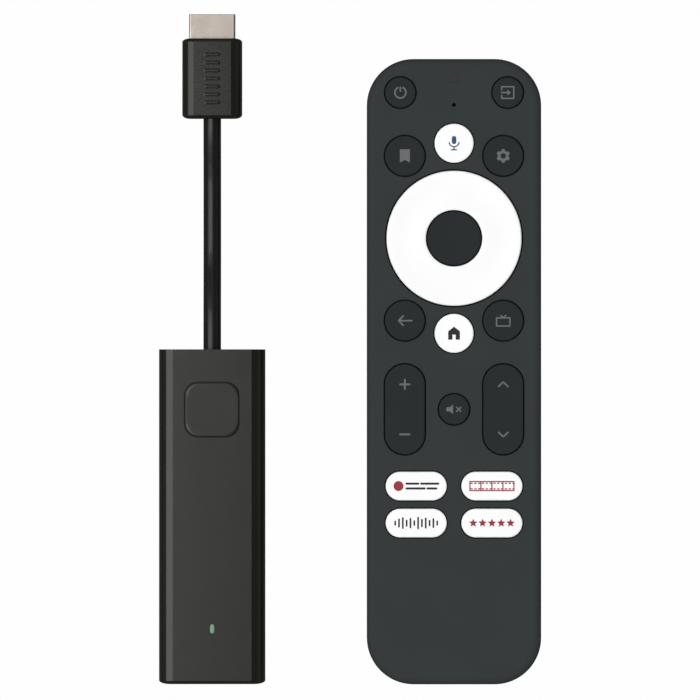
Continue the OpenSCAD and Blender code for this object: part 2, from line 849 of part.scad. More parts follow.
// One cell: its flat end at the origin and its nose along +Y
module cell() {
    nose_l = 1;
    nose_d = 3.8;
    base_rim = 1.25;
    sleeve_z = 0.2;
    color(cell_blue) rotate([-90, 0, 0]) {
        translate([0, 0, sleeve_z]) cylinder(d = cell_d, h = cell_l - nose_l - sleeve_z);
        cylinder(d = cell_d - 2 * base_rim, h = nose_l);
        translate([0, 0, cell_l - 2 * nose_l]) cylinder(d = nose_d, h = 2 * nose_l);
    }
}

module battery_left() {
    at_remote([-cell_pitch / 2, left_flat_y], cell_z) cell();
}

module battery_right() {
    at_remote([cell_pitch / 2, right_flat_y], cell_z) mirror([0, 1, 0]) cell();
}

// A coil spring along +Y, its first turn centred on the origin
module coil_spring(height) {
    steps = 16;
    sides = 8;
    rings = coil_turns * steps;
    points = [for (i = [0:rings], k = [0:sides - 1])
        let (a = 360 * i / steps, b = 360 * k / sides, out = coil_r + coil_wire_r * cos(b))
        [out * cos(a), height * i / rings + coil_wire_r * sin(b), out * sin(a)]];
    walls = [for (i = [0:rings - 1], k = [0:sides - 1])
        let (a = i * sides + k, b = i * sides + (k + 1) % sides)
        [b, b + sides, a + sides, a]];
    first = [for (k = [0:sides - 1]) k];
    last = [for (k = [sides - 1:-1:0]) rings * sides + k];
    polyhedron(points, concat(walls, [first, last]));
}

// One spring presses on each cell's flat end
module battery_springs() {
    clear = coil_wire_r + skin;
    height = left_flat_y - bay_in_y - 2 * clear;
    color(bright_metal) {
        at_remote([-cell_pitch / 2, bay_in_y + clear], cell_z) coil_spring(height);
        at_remote([cell_pitch / 2, right_flat_y + clear], cell_z) coil_spring(height);
    }
}

// One plate meets each cell's nose
module battery_contacts() {
    plate_w = 8;
    for (p = [[-cell_pitch / 2, bay_end_y - contact_t], [cell_pitch / 2, bay_in_y]])
        color(bright_metal) at_remote([p.x - plate_w / 2, p.y], cell_z - plate_w / 2 + 0.6)
            cube([plate_w, contact_t, plate_w]);
}

module ir_window() {
    color(window_red) intersection() {
        window_opening(0);
        remote_shell();
    }
}

module ir_emitter() {
    color("lightsteelblue") at_remote([0, circuit_top_y - 6], circuit_z - 2.4) rotate([-90, 0, 0]) {
        cylinder(r = 2, h = 6);
        cylinder(r = 2.3, h = 1);
    }
}

module indicator_window() {
    color(window_red) at_remote([0, indicator_row], mat_top_z + 0.1)
        cylinder(r = indicator_r, h = remote_h - skin - mat_top_z - 0.1);
}

module microphone() {
    can = [3, 2.4, 1];
    port_r = 0.25;
    color(chip_black) at_remote([0, mic_row], mat_z) difference() {
        translate([-can.x / 2, -can.y / 2, 0]) cube(can);
        translate([0, 0, can.z - 0.3]) cylinder(r = port_r, h = eps);
    }
}

module remote_screws() {
    color(dull_metal) for (x = [-1, 1])
        at_remote([x * ear_x, ear_y], ear_z) mirror([0, 0, 1]) screw(screw_r, long_screw_l);
}

// ---------- remote keys ----------

module round_key(place, d, paint) {
    color(paint) at_remote(place) {
        translate([0, 0, flange_z]) disc(d / 2, key_top_z - flange_z, key_edge_r);
        translate([0, 0, flange_z]) cylinder(d = d + 2 * flange_reach, h = flange_t);
        translate([0, 0, stem_z]) cylinder(r = stem_r, h = flange_z - stem_z);
    }
}

// A rocker tips about X on a round rib under its middle, so its flange is short and thin
module rocker(place) {
    color(key_grey) at_remote(place) {
        translate([0, 0, flange_z])
            slab(large_key_d, rocker_l, key_top_z - flange_z, large_key_d / 2, key_edge_r);
        translate([-large_key_d / 2 - flange_reach, -rocker_flange_l / 2, flange_z])
            cube([large_key_d + 2 * flange_reach, rocker_flange_l, rocker_flange_t]);
        translate([-rocker_rib_l / 2, 0, rocker_axis_z]) rotate([0, 90, 0])
            cylinder(r = rocker_rib_r, h = rocker_rib_l);
        for (s = [-1, 1])
            translate([0, s * rocker_stem_y, stem_z]) cylinder(r = stem_r, h = flange_z - stem_z);
    }
}

module app_key(place) {
    color(key_white) at_remote(place) {
        translate([0, 0, flange_z])
            slab(app_key_l, app_key_w, key_top_z - flange_z, app_key_w / 2, key_edge_r);
        translate([0, 0, flange_z])
            plate(app_key_l + 2 * app_flange_reach, app_key_w + 2 * app_flange_reach, flange_t,
                app_key_w / 2 + app_flange_reach);
        translate([0, 0, stem_z]) cylinder(r = stem_r, h = flange_z - stem_z);
    }
}

// The direction ring rocks on two pairs of round ribs: one pair along X underneath, one along Y on top
module pivot_ribs(angle, low, high) {
    intersection() {
        rotate(angle) translate([-pivot_ring_r, 0, pivot_axis_z]) rotate([0, 90, 0])
            cylinder(r = pivot_rib_r, h = 2 * pivot_ring_r);
        translate([0, 0, low]) cylinder(r = pivot_ring_r, h = high - low);
    }
}

module ring_pivot() {
    top_z = pivot_ring_z + pivot_ring_t;
    color(rubber_grey) at_remote([0, ring_row]) difference() {
        union() {
            translate([0, 0, pivot_ring_z]) cylinder(r = pivot_ring_r, h = pivot_ring_t);
            pivot_ribs(0, pivot_ring_z - 1, top_z);
            pivot_ribs(90, pivot_ring_z, top_z + 1);
        }
        translate([0, 0, pivot_ring_z - 1]) cylinder(r = pivot_hole_r, h = 4);
    }
}

module direction_ring() {
    color(key_white) at_remote([0, ring_row], ring_flange_z) difference() {
        union() {
            disc(ring_r, ring_top_z - ring_flange_z, ring_edge_r);
            cylinder(r = ring_flange_r, h = ring_flange_t);
        }
        translate([0, 0, -eps]) cylinder(r = centre_r + key_gap, h = remote_h);
        translate([0, 0, -eps]) cylinder(r = centre_flange_r + ring_clear, h = centre_recess + eps);
        translate([0, 0, -eps]) cylinder(r = pivot_ring_r + ring_clear, h = pivot_recess + eps);
    }
}

module centre_key() {
    color(key_grey) at_remote([0, ring_row], stem_z) {
        disc(centre_r, key_top_z - 0.1 - stem_z, key_edge_r);
        cylinder(r = centre_flange_r, h = centre_flange_t);
    }
}

stick_top_shell();
stick_bottom_shell();
stick_board();
stick_shield_can();
stick_chips();
stick_thermal_pad();
stick_heat_spreader();
stick_antennas();
stick_switch();
stick_led();
stick_light_pipe();
stick_power_port();
stick_port_tongue();
stick_screws();
stick_button();
cable_grommet();
cable_tail();
cable_ferrule();
cable_wires();
cord();
plug_grip();
plug_shell();
plug_insulator();
plug_contacts();
remote_front_shell();
remote_rear_shell();
remote_board();
remote_chips();
keypad_mat();
battery_tray();
battery_left();
battery_right();
battery_springs();
battery_contacts();
ir_window();
ir_emitter();
indicator_window();
microphone();
remote_screws();
battery_cover();
ring_pivot();
direction_ring();
centre_key();
for (k = ROUND_KEYS) round_key(k[1], k[2], k[3]);
for (k = ROCKERS) rocker(k[1]);
for (k = APP_KEYS) app_key(k[1]);
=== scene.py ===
import json
import math

import bmesh
import bpy
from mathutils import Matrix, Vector

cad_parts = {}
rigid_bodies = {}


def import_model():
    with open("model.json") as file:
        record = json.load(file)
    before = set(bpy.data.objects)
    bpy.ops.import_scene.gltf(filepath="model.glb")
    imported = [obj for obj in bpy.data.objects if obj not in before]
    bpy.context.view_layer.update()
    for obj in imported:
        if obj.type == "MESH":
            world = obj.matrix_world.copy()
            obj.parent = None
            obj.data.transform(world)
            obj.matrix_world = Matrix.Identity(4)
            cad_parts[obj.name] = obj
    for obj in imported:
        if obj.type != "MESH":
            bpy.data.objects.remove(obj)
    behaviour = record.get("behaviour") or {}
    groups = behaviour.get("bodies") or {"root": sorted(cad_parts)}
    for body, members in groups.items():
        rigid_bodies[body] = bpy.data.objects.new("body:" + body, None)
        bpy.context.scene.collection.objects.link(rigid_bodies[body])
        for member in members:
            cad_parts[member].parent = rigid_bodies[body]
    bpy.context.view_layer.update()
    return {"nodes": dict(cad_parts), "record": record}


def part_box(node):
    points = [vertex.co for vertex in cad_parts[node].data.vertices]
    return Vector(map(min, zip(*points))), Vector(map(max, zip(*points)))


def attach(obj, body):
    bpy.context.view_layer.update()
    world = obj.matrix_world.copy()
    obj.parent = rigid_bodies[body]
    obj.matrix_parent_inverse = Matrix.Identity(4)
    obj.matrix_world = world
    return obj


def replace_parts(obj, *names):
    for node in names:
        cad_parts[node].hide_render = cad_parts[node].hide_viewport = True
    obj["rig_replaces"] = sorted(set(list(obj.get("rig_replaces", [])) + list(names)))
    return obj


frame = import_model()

MM = 0.001

# ---------------------------------------------------------------- sizes, in millimetres
# The cord's route from the end of the stick's case to the plug, as Y and Z
CORD_ROUTE = [
    (0, 7), (5, 7), (10, 6.7), (15, 5.9), (20, 4.7), (25, 3.5), (30, 2.85), (35, 2.65),
    (40, 2.65), (45, 2.65), (50, 2.85), (55, 3.55), (60, 4.45), (64, 5.05), (67, 5.3), (69.3, 5.3),
]
CORD_DIAMETER = 5.3
STICK_EDGE = 4.0          # rounding of the stick's long edges
STICK_WALL = 1.5
RIM_GAP = 0.1             # between a wall and the rim or flange behind it
BUTTON_GAP = 0.25
BUTTON_RIM = 1.2          # how far the button's hidden rim reaches out
BUTTON_CORNER = 4.0
LAMP_SIZE = (1.28, 2.78)
LAMP_GAP = 0.06
PORT_GAP = 0.25
GROMMET_FLANGE = 0.8      # how far the grommet's flange reaches out behind the wall
GROMMET_GAP = 0.05
GRIP_EDGE = 3.3
GRIP_HEIGHT = 10.6
GRIP_CORD_ROLL = (2.2, 1.1, 1.2)    # how far the grip's end narrows and lowers, and over what length
GRIP_PLUG_ROLL = (2.2, 0.9, 1.1)
GRIP_BARS = 7
REMOTE_CORNER = 14.0
REMOTE_FRONT_EDGE = 2.4
REMOTE_REAR_EDGE = 5.0
REMOTE_WALL = 1.6
LATCH_REACH = 3.0         # how far the cover's latch tongues reach past the end of its wall
COVER_GAP = 0.25
LAP = 1.2                 # how far a lip of the rear shell reaches in under the end of the cover
LAP_SKIN = 0.4            # what is left of the cover's wall outside that lip
LAP_CLEAR = 0.1
COVER_SEAM = 0.15         # between the top of the cover's wall and the front shell
LATCH_W = 6.0
LATCH_X = 17.0            # from the remote's middle line to the middle of a tongue
KEY_GAP = 0.35
RING_GAP = 0.45
RING_FLANGE = 1.35        # how far the ring's hidden flange reaches out
RING_HOLE_R = 8.45
MIC_HOLE_R = 0.6
LENS_GAP = 0.02           # round the indicator's lens
WINDOW_GAP = 0.05         # round the infra-red window
FLANGE = 0.75             # how far a round key's hidden flange reaches out
PILL_FLANGE = 0.7
FLANGE_T = 0.9
ROCKER_FLANGE_T = 0.7
STEM_R = 2.0
ROCKER_STEM_Y = 8.5       # from the middle of a rocker to each of its stems
ROCKER_AXIS_Z = 17.2
PRINT_H = 0.03            # half the thickness of a printed symbol
PRINT_STEP = 0.0008       # how much higher each next shape of a symbol lies
MARK_PITCH = 1.145        # between the film strip's holes, and between the sound-level bars
CLEAR = 150               # past every end of the object, measured from its middle


class Box:
    """A CAD node's box at rest, in millimetres."""

    def __init__(self, node):
        low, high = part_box(node)
        self.low, self.high = low / MM, high / MM
        self.mid = (self.low + self.high) / 2
        self.size = self.high - self.low


# ---------------------------------------------------------------- mesh building
def outline(width, length, radius, steps=12):
    """Points of a rectangle with round corners, about the origin, anticlockwise."""
    radius = min(radius, width / 2, length / 2)
    corners = ((1, 1), (-1, 1), (-1, -1), (1, -1))
    points = []
    for turn, (side_x, side_y) in enumerate(corners):
        for k in range(steps + 1):
            angle = math.radians(90 * (turn + k / steps))
            points.append((side_x * (width / 2 - radius) + radius * math.cos(angle),
                           side_y * (length / 2 - radius) + radius * math.sin(angle)))
    return points


def circle(radius, steps):
    """Points of a circle about the origin, anticlockwise."""
    turns = [2 * math.pi * k / steps for k in range(steps)]
    return [(radius * math.cos(a), radius * math.sin(a)) for a in turns]


def skin(bm, loops, closed):
    """Joins each closed row of points to the next, and if closed the last to the first."""
    rows = [[bm.verts.new(point) for point in loop] for loop in loops]
    for low, high in zip(rows, rows[1:] + rows[:1] if closed else rows[1:]):
        for i, vert in enumerate(low):
            j = (i + 1) % len(low)
            bm.faces.new((vert, low[j], high[j], high[i]))
    return rows


def loft(bm, loops):
    """Skins closed rows of points, all of one length, into a solid with flat ends."""
    rows = skin(bm, loops, closed=False)
    bm.faces.new(rows[0][::-1])
    bm.faces.new(rows[-1])


def stack(bm, width, length, radius, profile, at=(0, 0), steps=12):
    """An upright solid: at each height of the profile its outline is inset by so much."""
    loops = []
    for inset, z in profile:
        points = outline(width - 2 * inset, length - 2 * inset, max(radius - inset, 0.02), steps)
        loops.append([(at[0] + x, at[1] + y, z) for x, y in points])
    loft(bm, loops)


def bar(bm, width, height, radius, stations, centre, steps=12, shape=outline):
    """A solid along Y: at each station its section is narrowed and lowered by so much on each side."""
    loops = []
    for narrow, lower, y in stations:
        corner = max(radius - max(narrow, lower), 0.02)
        points = shape(width - 2 * narrow, height - 2 * lower, corner, steps)
        loops.append([(centre[0] - x, y, centre[1] + z) for x, z in points])
    loft(bm, loops)


def end_roll(narrow, lower, depth, y, way, steps=7):
    """Stations that round off the end of a bar lying at y; way is +1 for its +Y end."""
    rolled = []
    for k in range(steps + 1):
        turn = math.radians(90 * k / steps)
        share = 1 - math.cos(turn)
        rolled.append((narrow * share, lower * share, y - way * depth * (1 - math.sin(turn))))
    return rolled if way > 0 else rolled[::-1]


def faceted(width, height, radius, steps):
    """A section whose long edges are a narrow facet by the flat face, then a tight curve down the side."""
    turn, soft = 63.3, 0.09   # the curve's angle, and the share of the facet that blends it at each end
    arc = [math.radians(turn * k / steps) for k in range(steps + 1)]
    drop, reach = radius * (1 - math.sin(arc[-1])), radius * math.cos(arc[-1])
    corner = [(radius * (1 - math.cos(a)), radius * (1 - math.sin(a))) for a in arc]
    for share in (soft, 1 - soft):
        corner.append((radius - reach * (1 - share), drop * (1 - share)))
    corner.append((radius + reach * soft, 0))
    half_w, half_h = width / 2, height / 2
    right = [(half_w - x, half_h - z) for x, z in corner]
    top = right + [(-x, z) for x, z in right[::-1]]
    return top + [(-x, -z) for x, z in top]


def lathe_y(profile, centre, start, way=1):
    """Rings about a line along Y, from radii and distances from the start; way -1 mirrors them."""
    return [[(centre[0] + way * x, start + run, centre[1] + z) for x, z in circle(radius, 64)]
            for radius, run in profile]


def roll_top(radius, z, steps=6):
    """The end of a profile that rounds off at height z."""
    turns = [math.radians(90 * k / steps) for k in range(steps + 1)]
    return [(radius * (1 - math.cos(a)), z - radius + radius * math.sin(a)) for a in turns]


def roll_bottom(radius, z, steps=6):
    """The start of a profile that rounds off at height z."""
    return [(inset, 2 * z - height) for inset, height in roll_top(radius, z, steps)[::-1]]


def as_mesh(name, bm):
    """Turns millimetre geometry into a mesh in metres."""
    bmesh.ops.recalc_face_normals(bm, faces=bm.faces)
    bmesh.ops.scale(bm, vec=(MM, MM, MM), verts=bm.verts)
    mesh = bpy.data.meshes.new(name)
    bm.to_mesh(mesh)
    bm.free()
    return mesh


def add_object(name, data):
    obj = bpy.data.objects.new(name, data)
    bpy.context.scene.collection.objects.link(obj)
    return obj


def piece(name, bm, material=None):
    """Turns millimetre geometry into a smooth-shaded object."""
    bmesh.ops.remove_doubles(bm, verts=bm.verts, dist=0.0005)
    mesh = as_mesh(name, bm)
    mesh.shade_smooth()
    obj = add_object(name, mesh)
    if material:
        mesh.materials.append(material)
    return obj


def bake(obj):
    """Applies an object's modifiers to its mesh."""
    bpy.context.view_layer.update()
    graph = bpy.context.evaluated_depsgraph_get()
    mesh = bpy.data.meshes.new_from_object(obj.evaluated_get(graph))
    obj.modifiers.clear()
    obj.data = mesh


def carve(obj, cutter, operation="DIFFERENCE"):
    """The same as combine, for a tool that is still millimetre geometry."""
    combine(obj, piece("cutter", cutter), operation)


def combine(obj, tool, operation="DIFFERENCE"):
    """Cuts, joins or crosses one solid with another, which is then thrown away."""
    boolean = obj.modifiers.new("cut", "BOOLEAN")
    boolean.operation = operation
    boolean.solver = "EXACT"
    boolean.object = tool
    bake(obj)
    bpy.data.objects.remove(tool)


def soften(obj, width, segments=3, angle=32):
    """Rounds the sharp edges that carving leaves, and evens the shading of the flat faces."""
    bevel = obj.modifiers.new("edges", "BEVEL")
    bevel.width = width * MM
    bevel.segments = segments
    bevel.limit_method = "ANGLE"
    bevel.angle_limit = math.radians(angle)
    bevel.use_clamp_overlap = True
    even(obj)


def even(obj):
    """Shades flat faces flat beside their rounded edges."""
    normals = obj.modifiers.new("normals", "WEIGHTED_NORMAL")
    normals.keep_sharp = False
    normals.weight = 80


def place(obj, body, slot, *nodes):
    """Rides a finished piece on its body, in place of CAD nodes where it names any."""
    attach(obj, body)
    if nodes:
        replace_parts(obj, *nodes)
    return obj


# ---------------------------------------------------------------- materials
MATERIALS = {}


class Recipe:
    """A material's node tree with a few short ways to fill it. It is kept in MATERIALS."""

    def __init__(self, name, **sockets):
        material = MATERIALS[name] = bpy.data.materials.new(name)
        material.use_nodes = True
        self.nodes, self.links = material.node_tree.nodes, material.node_tree.links
        self.shader = self.nodes["Principled BSDF"]
        self.where = self.nodes.new("ShaderNodeTexCoord")
        for socket, value in sockets.items():
            self.shader.inputs[socket.replace("_", " ")].default_value = value

    def noise(self, scale, detail=3.0, stretch=(1, 1, 1)):
        mapping = self.nodes.new("ShaderNodeMapping")
        mapping.inputs["Scale"].default_value = stretch
        texture = self.nodes.new("ShaderNodeTexNoise")
        texture.inputs["Scale"].default_value = scale
        texture.inputs["Detail"].default_value = detail
        self.links.new(self.where.outputs["Object"], mapping.inputs["Vector"])
        self.links.new(mapping.outputs["Vector"], texture.inputs["Vector"])
        return texture.outputs["Fac"]

    def spread(self, value, low, high):
        reach = self.nodes.new("ShaderNodeMapRange")
        for socket, number in (("From Min", 0.3), ("From Max", 0.7), ("To Min", low), ("To Max", high)):
            reach.inputs[socket].default_value = number
        self.links.new(value, reach.inputs["Value"])
        return reach.outputs["Result"]

    def colour(self, value, first, second):
        ramp = self.nodes.new("ShaderNodeValToRGB")
        ramp.color_ramp.elements[0].position = 0.35
        ramp.color_ramp.elements[0].color = (*first, 1)
        ramp.color_ramp.elements[1].position = 0.65
        ramp.color_ramp.elements[1].color = (*second, 1)
        self.links.new(value, ramp.inputs["Fac"])
        self.links.new(ramp.outputs["Color"], self.shader.inputs["Base Color"])

    def rough(self, value, low, high):
        self.links.new(self.spread(value, low, high), self.shader.inputs["Roughness"])

    def bump(self, layers):
        """Each layer is a height value, its depth in millimetres and its strength."""
        normal = None
        for value, depth, strength in layers:
            node = self.nodes.new("ShaderNodeBump")
            node.inputs["Distance"].default_value = depth * MM
            node.inputs["Strength"].default_value = strength
            self.links.new(value, node.inputs["Height"])
            if normal:
                self.links.new(normal, node.inputs["Normal"])
            normal = node.outputs["Normal"]
        self.links.new(normal, self.shader.inputs["Normal"])


def tint(colour, factor):
    return tuple(min(channel * factor, 1.0) for channel in colour)


def moulded_plastic(name, colour, rough, grain=0.12, depth=0.012, level=0.5, spread=0.05):
    """Moulded plastic: a spark-eroded grain, faint flow marks and a hand's uneven sheen."""
    recipe = Recipe(name, Specular_IOR_Level=level)
    recipe.colour(recipe.noise(60, 4), tint(colour, 1 - spread), tint(colour, 1 + spread))
    recipe.rough(recipe.noise(140, 5), rough - 0.015, rough + 0.02)
    recipe.bump([(recipe.noise(1 / (grain * MM), 2), depth, 0.35), (recipe.noise(250, 2), depth * 1.5, 0.06)])


def metal(name, colour, rough, along=(1, 1, 1)):
    """Plated sheet metal with a fine rolled grain."""
    recipe = Recipe(name, Metallic=1.0)
    grain = recipe.noise(3500, 4, along)
    recipe.colour(recipe.noise(220, 4), tint(colour, 0.94), tint(colour, 1.05))
    recipe.rough(grain, rough - 0.06, rough + 0.08)
    recipe.bump([(grain, 0.004, 0.4)])


def board_mask(name):
    """A circuit board: green mask over a grid of copper tracks."""
    recipe = Recipe(name, Roughness=0.35, Specular_IOR_Level=0.5)
    bricks = recipe.nodes.new("ShaderNodeTexBrick")
    for socket, value in (("Scale", 400), ("Color1", (0.012, 0.12, 0.045, 1)),
                          ("Color2", (0.01, 0.09, 0.035, 1)), ("Mortar", (0.03, 0.2, 0.08, 1)),
                          ("Mortar Size", 0.012)):
        bricks.inputs[socket].default_value = value
    recipe.links.new(recipe.where.outputs["Object"], bricks.inputs["Vector"])
    recipe.links.new(bricks.outputs["Color"], recipe.shader.inputs["Base Color"])
    recipe.bump([(bricks.outputs["Fac"], 0.02, 0.4)])


def translucent(name, colour, glow=0.0, rough=0.25):
    """A tinted light pipe or window, with a cloudy depth to it."""
    recipe = Recipe(name, Emission_Strength=glow, Emission_Color=(*colour, 1), Transmission_Weight=0.15,
                    IOR=1.49)
    recipe.colour(recipe.noise(900, 3), tint(colour, 0.85), tint(colour, 1.1))
    recipe.rough(recipe.noise(400, 2), rough - 0.05, rough + 0.05)
    recipe.bump([(recipe.noise(2500, 2), 0.004, 0.3)])


def cord_jacket(name):
    """Extruded cord jacket: glossy, with faint draw lines along it."""
    recipe = Recipe(name, Specular_IOR_Level=0.5)
    lines = recipe.noise(2600, 2, (1, 0.03, 1))
    recipe.colour(recipe.noise(90, 3), (0.005, 0.005, 0.005), (0.006, 0.006, 0.006))
    recipe.rough(lines, 0.24, 0.36)
    recipe.bump([(lines, 0.012, 0.25), (recipe.noise(400, 2), 0.03, 0.15)])


STICK_BLACK = (0.0070, 0.0073, 0.0044)
REMOTE_GREY = (0.030, 0.0355, 0.0365)
KEY_GREY = (0.0178, 0.0222, 0.0238)
WHITE = (0.86, 0.86, 0.86)
moulded_plastic("stick_plastic", STICK_BLACK, 0.20)
moulded_plastic("button_plastic", STICK_BLACK, 0.21)
moulded_plastic("grip_plastic", STICK_BLACK, 0.20, grain=0.09, level=0.44)
cord_jacket("cord_rubber")
moulded_plastic("remote_plastic", REMOTE_GREY, 0.72, grain=0.16, level=0.12, spread=0.03)
moulded_plastic("dark_key", KEY_GREY, 0.66, grain=0.10, depth=0.008, level=0.14, spread=0.03)
moulded_plastic("white_key", WHITE, 0.36, grain=0.14, depth=0.005, spread=0.012)
metal("plug_metal", (0.567, 0.508, 0.444), 0.34, (1, 0.12, 1))
metal("bright_metal", (0.62, 0.60, 0.57), 0.3)
metal("screw_steel", (0.42, 0.42, 0.43), 0.34)
metal("gold", (0.83, 0.56, 0.2), 0.22)
metal("heat_metal", (0.7, 0.7, 0.71), 0.38)
board_mask("circuit_board")
moulded_plastic("chip_black", (0.015, 0.015, 0.016), 0.5)
moulded_plastic("thermal_pad", (0.25, 0.36, 0.5), 0.8, grain=0.3, depth=0.03)
moulded_plastic("wire_jacket", (0.6, 0.12, 0.04), 0.3)
moulded_plastic("mat_rubber", (0.05, 0.05, 0.055), 0.75, grain=0.2, depth=0.02)
translucent("lamp", (0.16, 0.33, 0.17), glow=0.08)
translucent("lamp_chip", (0.8, 0.8, 0.7))
translucent("dark_window", (0.034, 0.0265, 0.0195), rough=0.6)
translucent("emitter", (0.3, 0.35, 0.45), rough=0.1)
moulded_plastic("cell_sleeve", (0.02, 0.05, 0.13), 0.25, grain=0.5, depth=0.004)
moulded_plastic("print_grey", (0.115, 0.12, 0.12), 0.6, grain=0.05, depth=0.004)
moulded_plastic("print_dark", (0.012, 0.014, 0.014), 0.5, grain=0.05, depth=0.004)
moulded_plastic("print_red", (0.30, 0.012, 0.022), 0.5, grain=0.05, depth=0.004)
moulded_plastic("print_blue", (0.018, 0.07, 0.15), 0.5, grain=0.05, depth=0.004)


def settle(name, bm, material, body, node):
    """Makes an evenly shaded piece of one material, on a body, in place of a CAD node."""
    obj = piece(name, bm, MATERIALS[material])
    even(obj)
    return place(obj, body, material, node)


# ---------------------------------------------------------------- camera, cord and plug
stick = Box("stick_top_shell")
remote = Box("remote_front_shell")
SEAM_Z = stick.low.z
STICK_TOP = stick.high.z
FACE_TOP = remote.high.z
VIEW_WIDTH = 210.0        # what the picture shows across, at the height of VIEW_CENTRE
VIEW_CENTRE = ((stick.low.x + remote.high.x) / 2, 6.5, 17.0)
LENS = 1000.0
SENSOR = 36.0


def add_camera():
    data = bpy.data.cameras.new("camera")
    data.lens = LENS
    data.sensor_width = SENSOR
    data.clip_end = 20
    camera = add_object("camera", data)
    x, y, z = VIEW_CENTRE
    camera.location = Vector((x, y, z + VIEW_WIDTH * LENS / SENSOR)) * MM
    bpy.context.scene.camera = camera


def slope_at(points, i):
    """The route's slope at a point, flat wherever the route turns over or lies level."""
    if i == 0 or i == len(points) - 1:
        return 0.0
    before = (points[i][1] - points[i - 1][1]) / (points[i][0] - points[i - 1][0])
    after = (points[i + 1][1] - points[i][1]) / (points[i + 1][0] - points[i][0])
    return 2 * before * after / (before + after) if before * after > 0 else 0.0


def route_length(points):
    """The curve's length, from short steps along each cubic stretch between two points."""
    total, steps = 0.0, 40
    for i in range(len(points) - 1):
        (y0, z0), (y1, z1) = points[i], points[i + 1]
        run = y1 - y0
        m0, m1 = slope_at(points, i) * run, slope_at(points, i + 1) * run
        last = z0
        for k in range(1, steps + 1):
            t = k / steps
            z = ((2 * t**3 - 3 * t**2 + 1) * z0 + (t**3 - 2 * t**2 + t) * m0
                 + (3 * t**2 - 2 * t**3) * z1 + (t**3 - t**2) * m1)
            total += math.hypot(run / steps, z - last)
            last = z
    return total


def make_cord():
    curve = bpy.data.curves.new("display_cord", "CURVE")
    curve.dimensions = "3D"
    curve.bevel_depth = CORD_DIAMETER / 2 * MM
    curve.bevel_resolution = 8
    curve.resolution_u = 8
    curve.use_fill_caps = True
    spline = curve.splines.new("BEZIER")
    spline.bezier_points.add(len(CORD_ROUTE) - 1)
    x, end_y = stick.mid.x, stick.high.y
    for i, (y, z) in enumerate(CORD_ROUTE):
        point = spline.bezier_points[i]
        point.handle_left_type = point.handle_right_type = "FREE"
        before = y - CORD_ROUTE[i - 1][0] if i else 3.0
        after = CORD_ROUTE[i + 1][0] - y if i + 1 < len(CORD_ROUTE) else 3.0
        slope = slope_at(CORD_ROUTE, i)
        point.co = Vector((x, end_y + y, z)) * MM
        point.handle_left = Vector((x, end_y + y - before / 3, z - slope * before / 3)) * MM
        point.handle_right = Vector((x, end_y + y + after / 3, z + slope * after / 3)) * MM
    curve.materials.append(MATERIALS["cord_rubber"])
    return place(add_object("display_cord", curve), "stick", "cord_rubber", "cord")


def make_grip():
    """The plug's grip, with raised bars across its top and a pocket for the metal shell."""
    box = Box("plug_grip")
    bm = bmesh.new()
    stations = end_roll(*GRIP_CORD_ROLL, box.low.y, -1) + end_roll(*GRIP_PLUG_ROLL, box.high.y, 1)
    bar(bm, box.size.x, GRIP_HEIGHT, GRIP_EDGE, stations, (box.mid.x, GRIP_HEIGHT / 2), 8, faceted)
    grip = piece("plug_grip_moulding", bm, MATERIALS["grip_plastic"])
    bars = bmesh.new()
    pitch, width, length, proud = 2.4, 5.0, 1.1, box.high.z - GRIP_HEIGHT
    end_slope, side_slope, corner, root, shoulder = 1.2, 0.5, 0.5, 0.5, 0.94
    for i in range(GRIP_BARS):
        y = box.mid.y + (i - (GRIP_BARS - 1) / 2) * pitch
        loops = []
        for share, height in ((0, -root), (0, 0.0), (shoulder, proud * shoulder), (1, proud)):
            points = outline(width - end_slope * share, length - side_slope * share,
                             corner - side_slope / 2 * share, 6)
            loops.append([(box.mid.x + x, y + v, GRIP_HEIGHT + height) for x, v in points])
        loft(bars, loops)
    carve(grip, bars, "UNION")
    shell = Box("plug_shell")
    pocket = bmesh.new()
    gap = 0.03
    section = plug_section(-gap)
    loft(pocket, [[(shell.mid.x + x, y, shell.mid.z + z) for x, z in section]
                  for y in (shell.low.y - gap, box.high.y + 1)])
    carve(grip, pocket)
    soften(grip, 0.1)
    return place(grip, "stick", "grip_plastic", "plug_grip")


def plug_section(inset):
    """The plug's section as X and Z about its middle: wide above, lower corners cut away, corners round."""
    box = Box("plug_shell")
    cut_w, cut_z, slant, corner = 1.8, -0.55, 0.4, 0.55
    half_w, half_h = box.size.x / 2 - inset, box.size.z / 2 - inset
    foot, step_z = half_w - cut_w + slant * inset, cut_z + slant * inset
    corners = [(half_w, half_h), (-half_w, half_h), (-half_w, step_z), (-foot, -half_h), (foot, -half_h),
               (half_w, step_z)]
    return rounded(corners, corner - 0.6 * max(inset, 0), 5)


def rounded(corners, radius, steps):
    """A polygon with every corner replaced by a smooth curve."""
    points = []
    for i, corner in enumerate(corners):
        here = Vector(corner)
        back = (Vector(corners[i - 1]) - here).normalized() * radius
        ahead = (Vector(corners[(i + 1) % len(corners)]) - here).normalized() * radius
        for k in range(steps + 1):
            t = k / steps
            points.append(tuple(here + back * (1 - t) ** 2 + ahead * t ** 2))
    return points


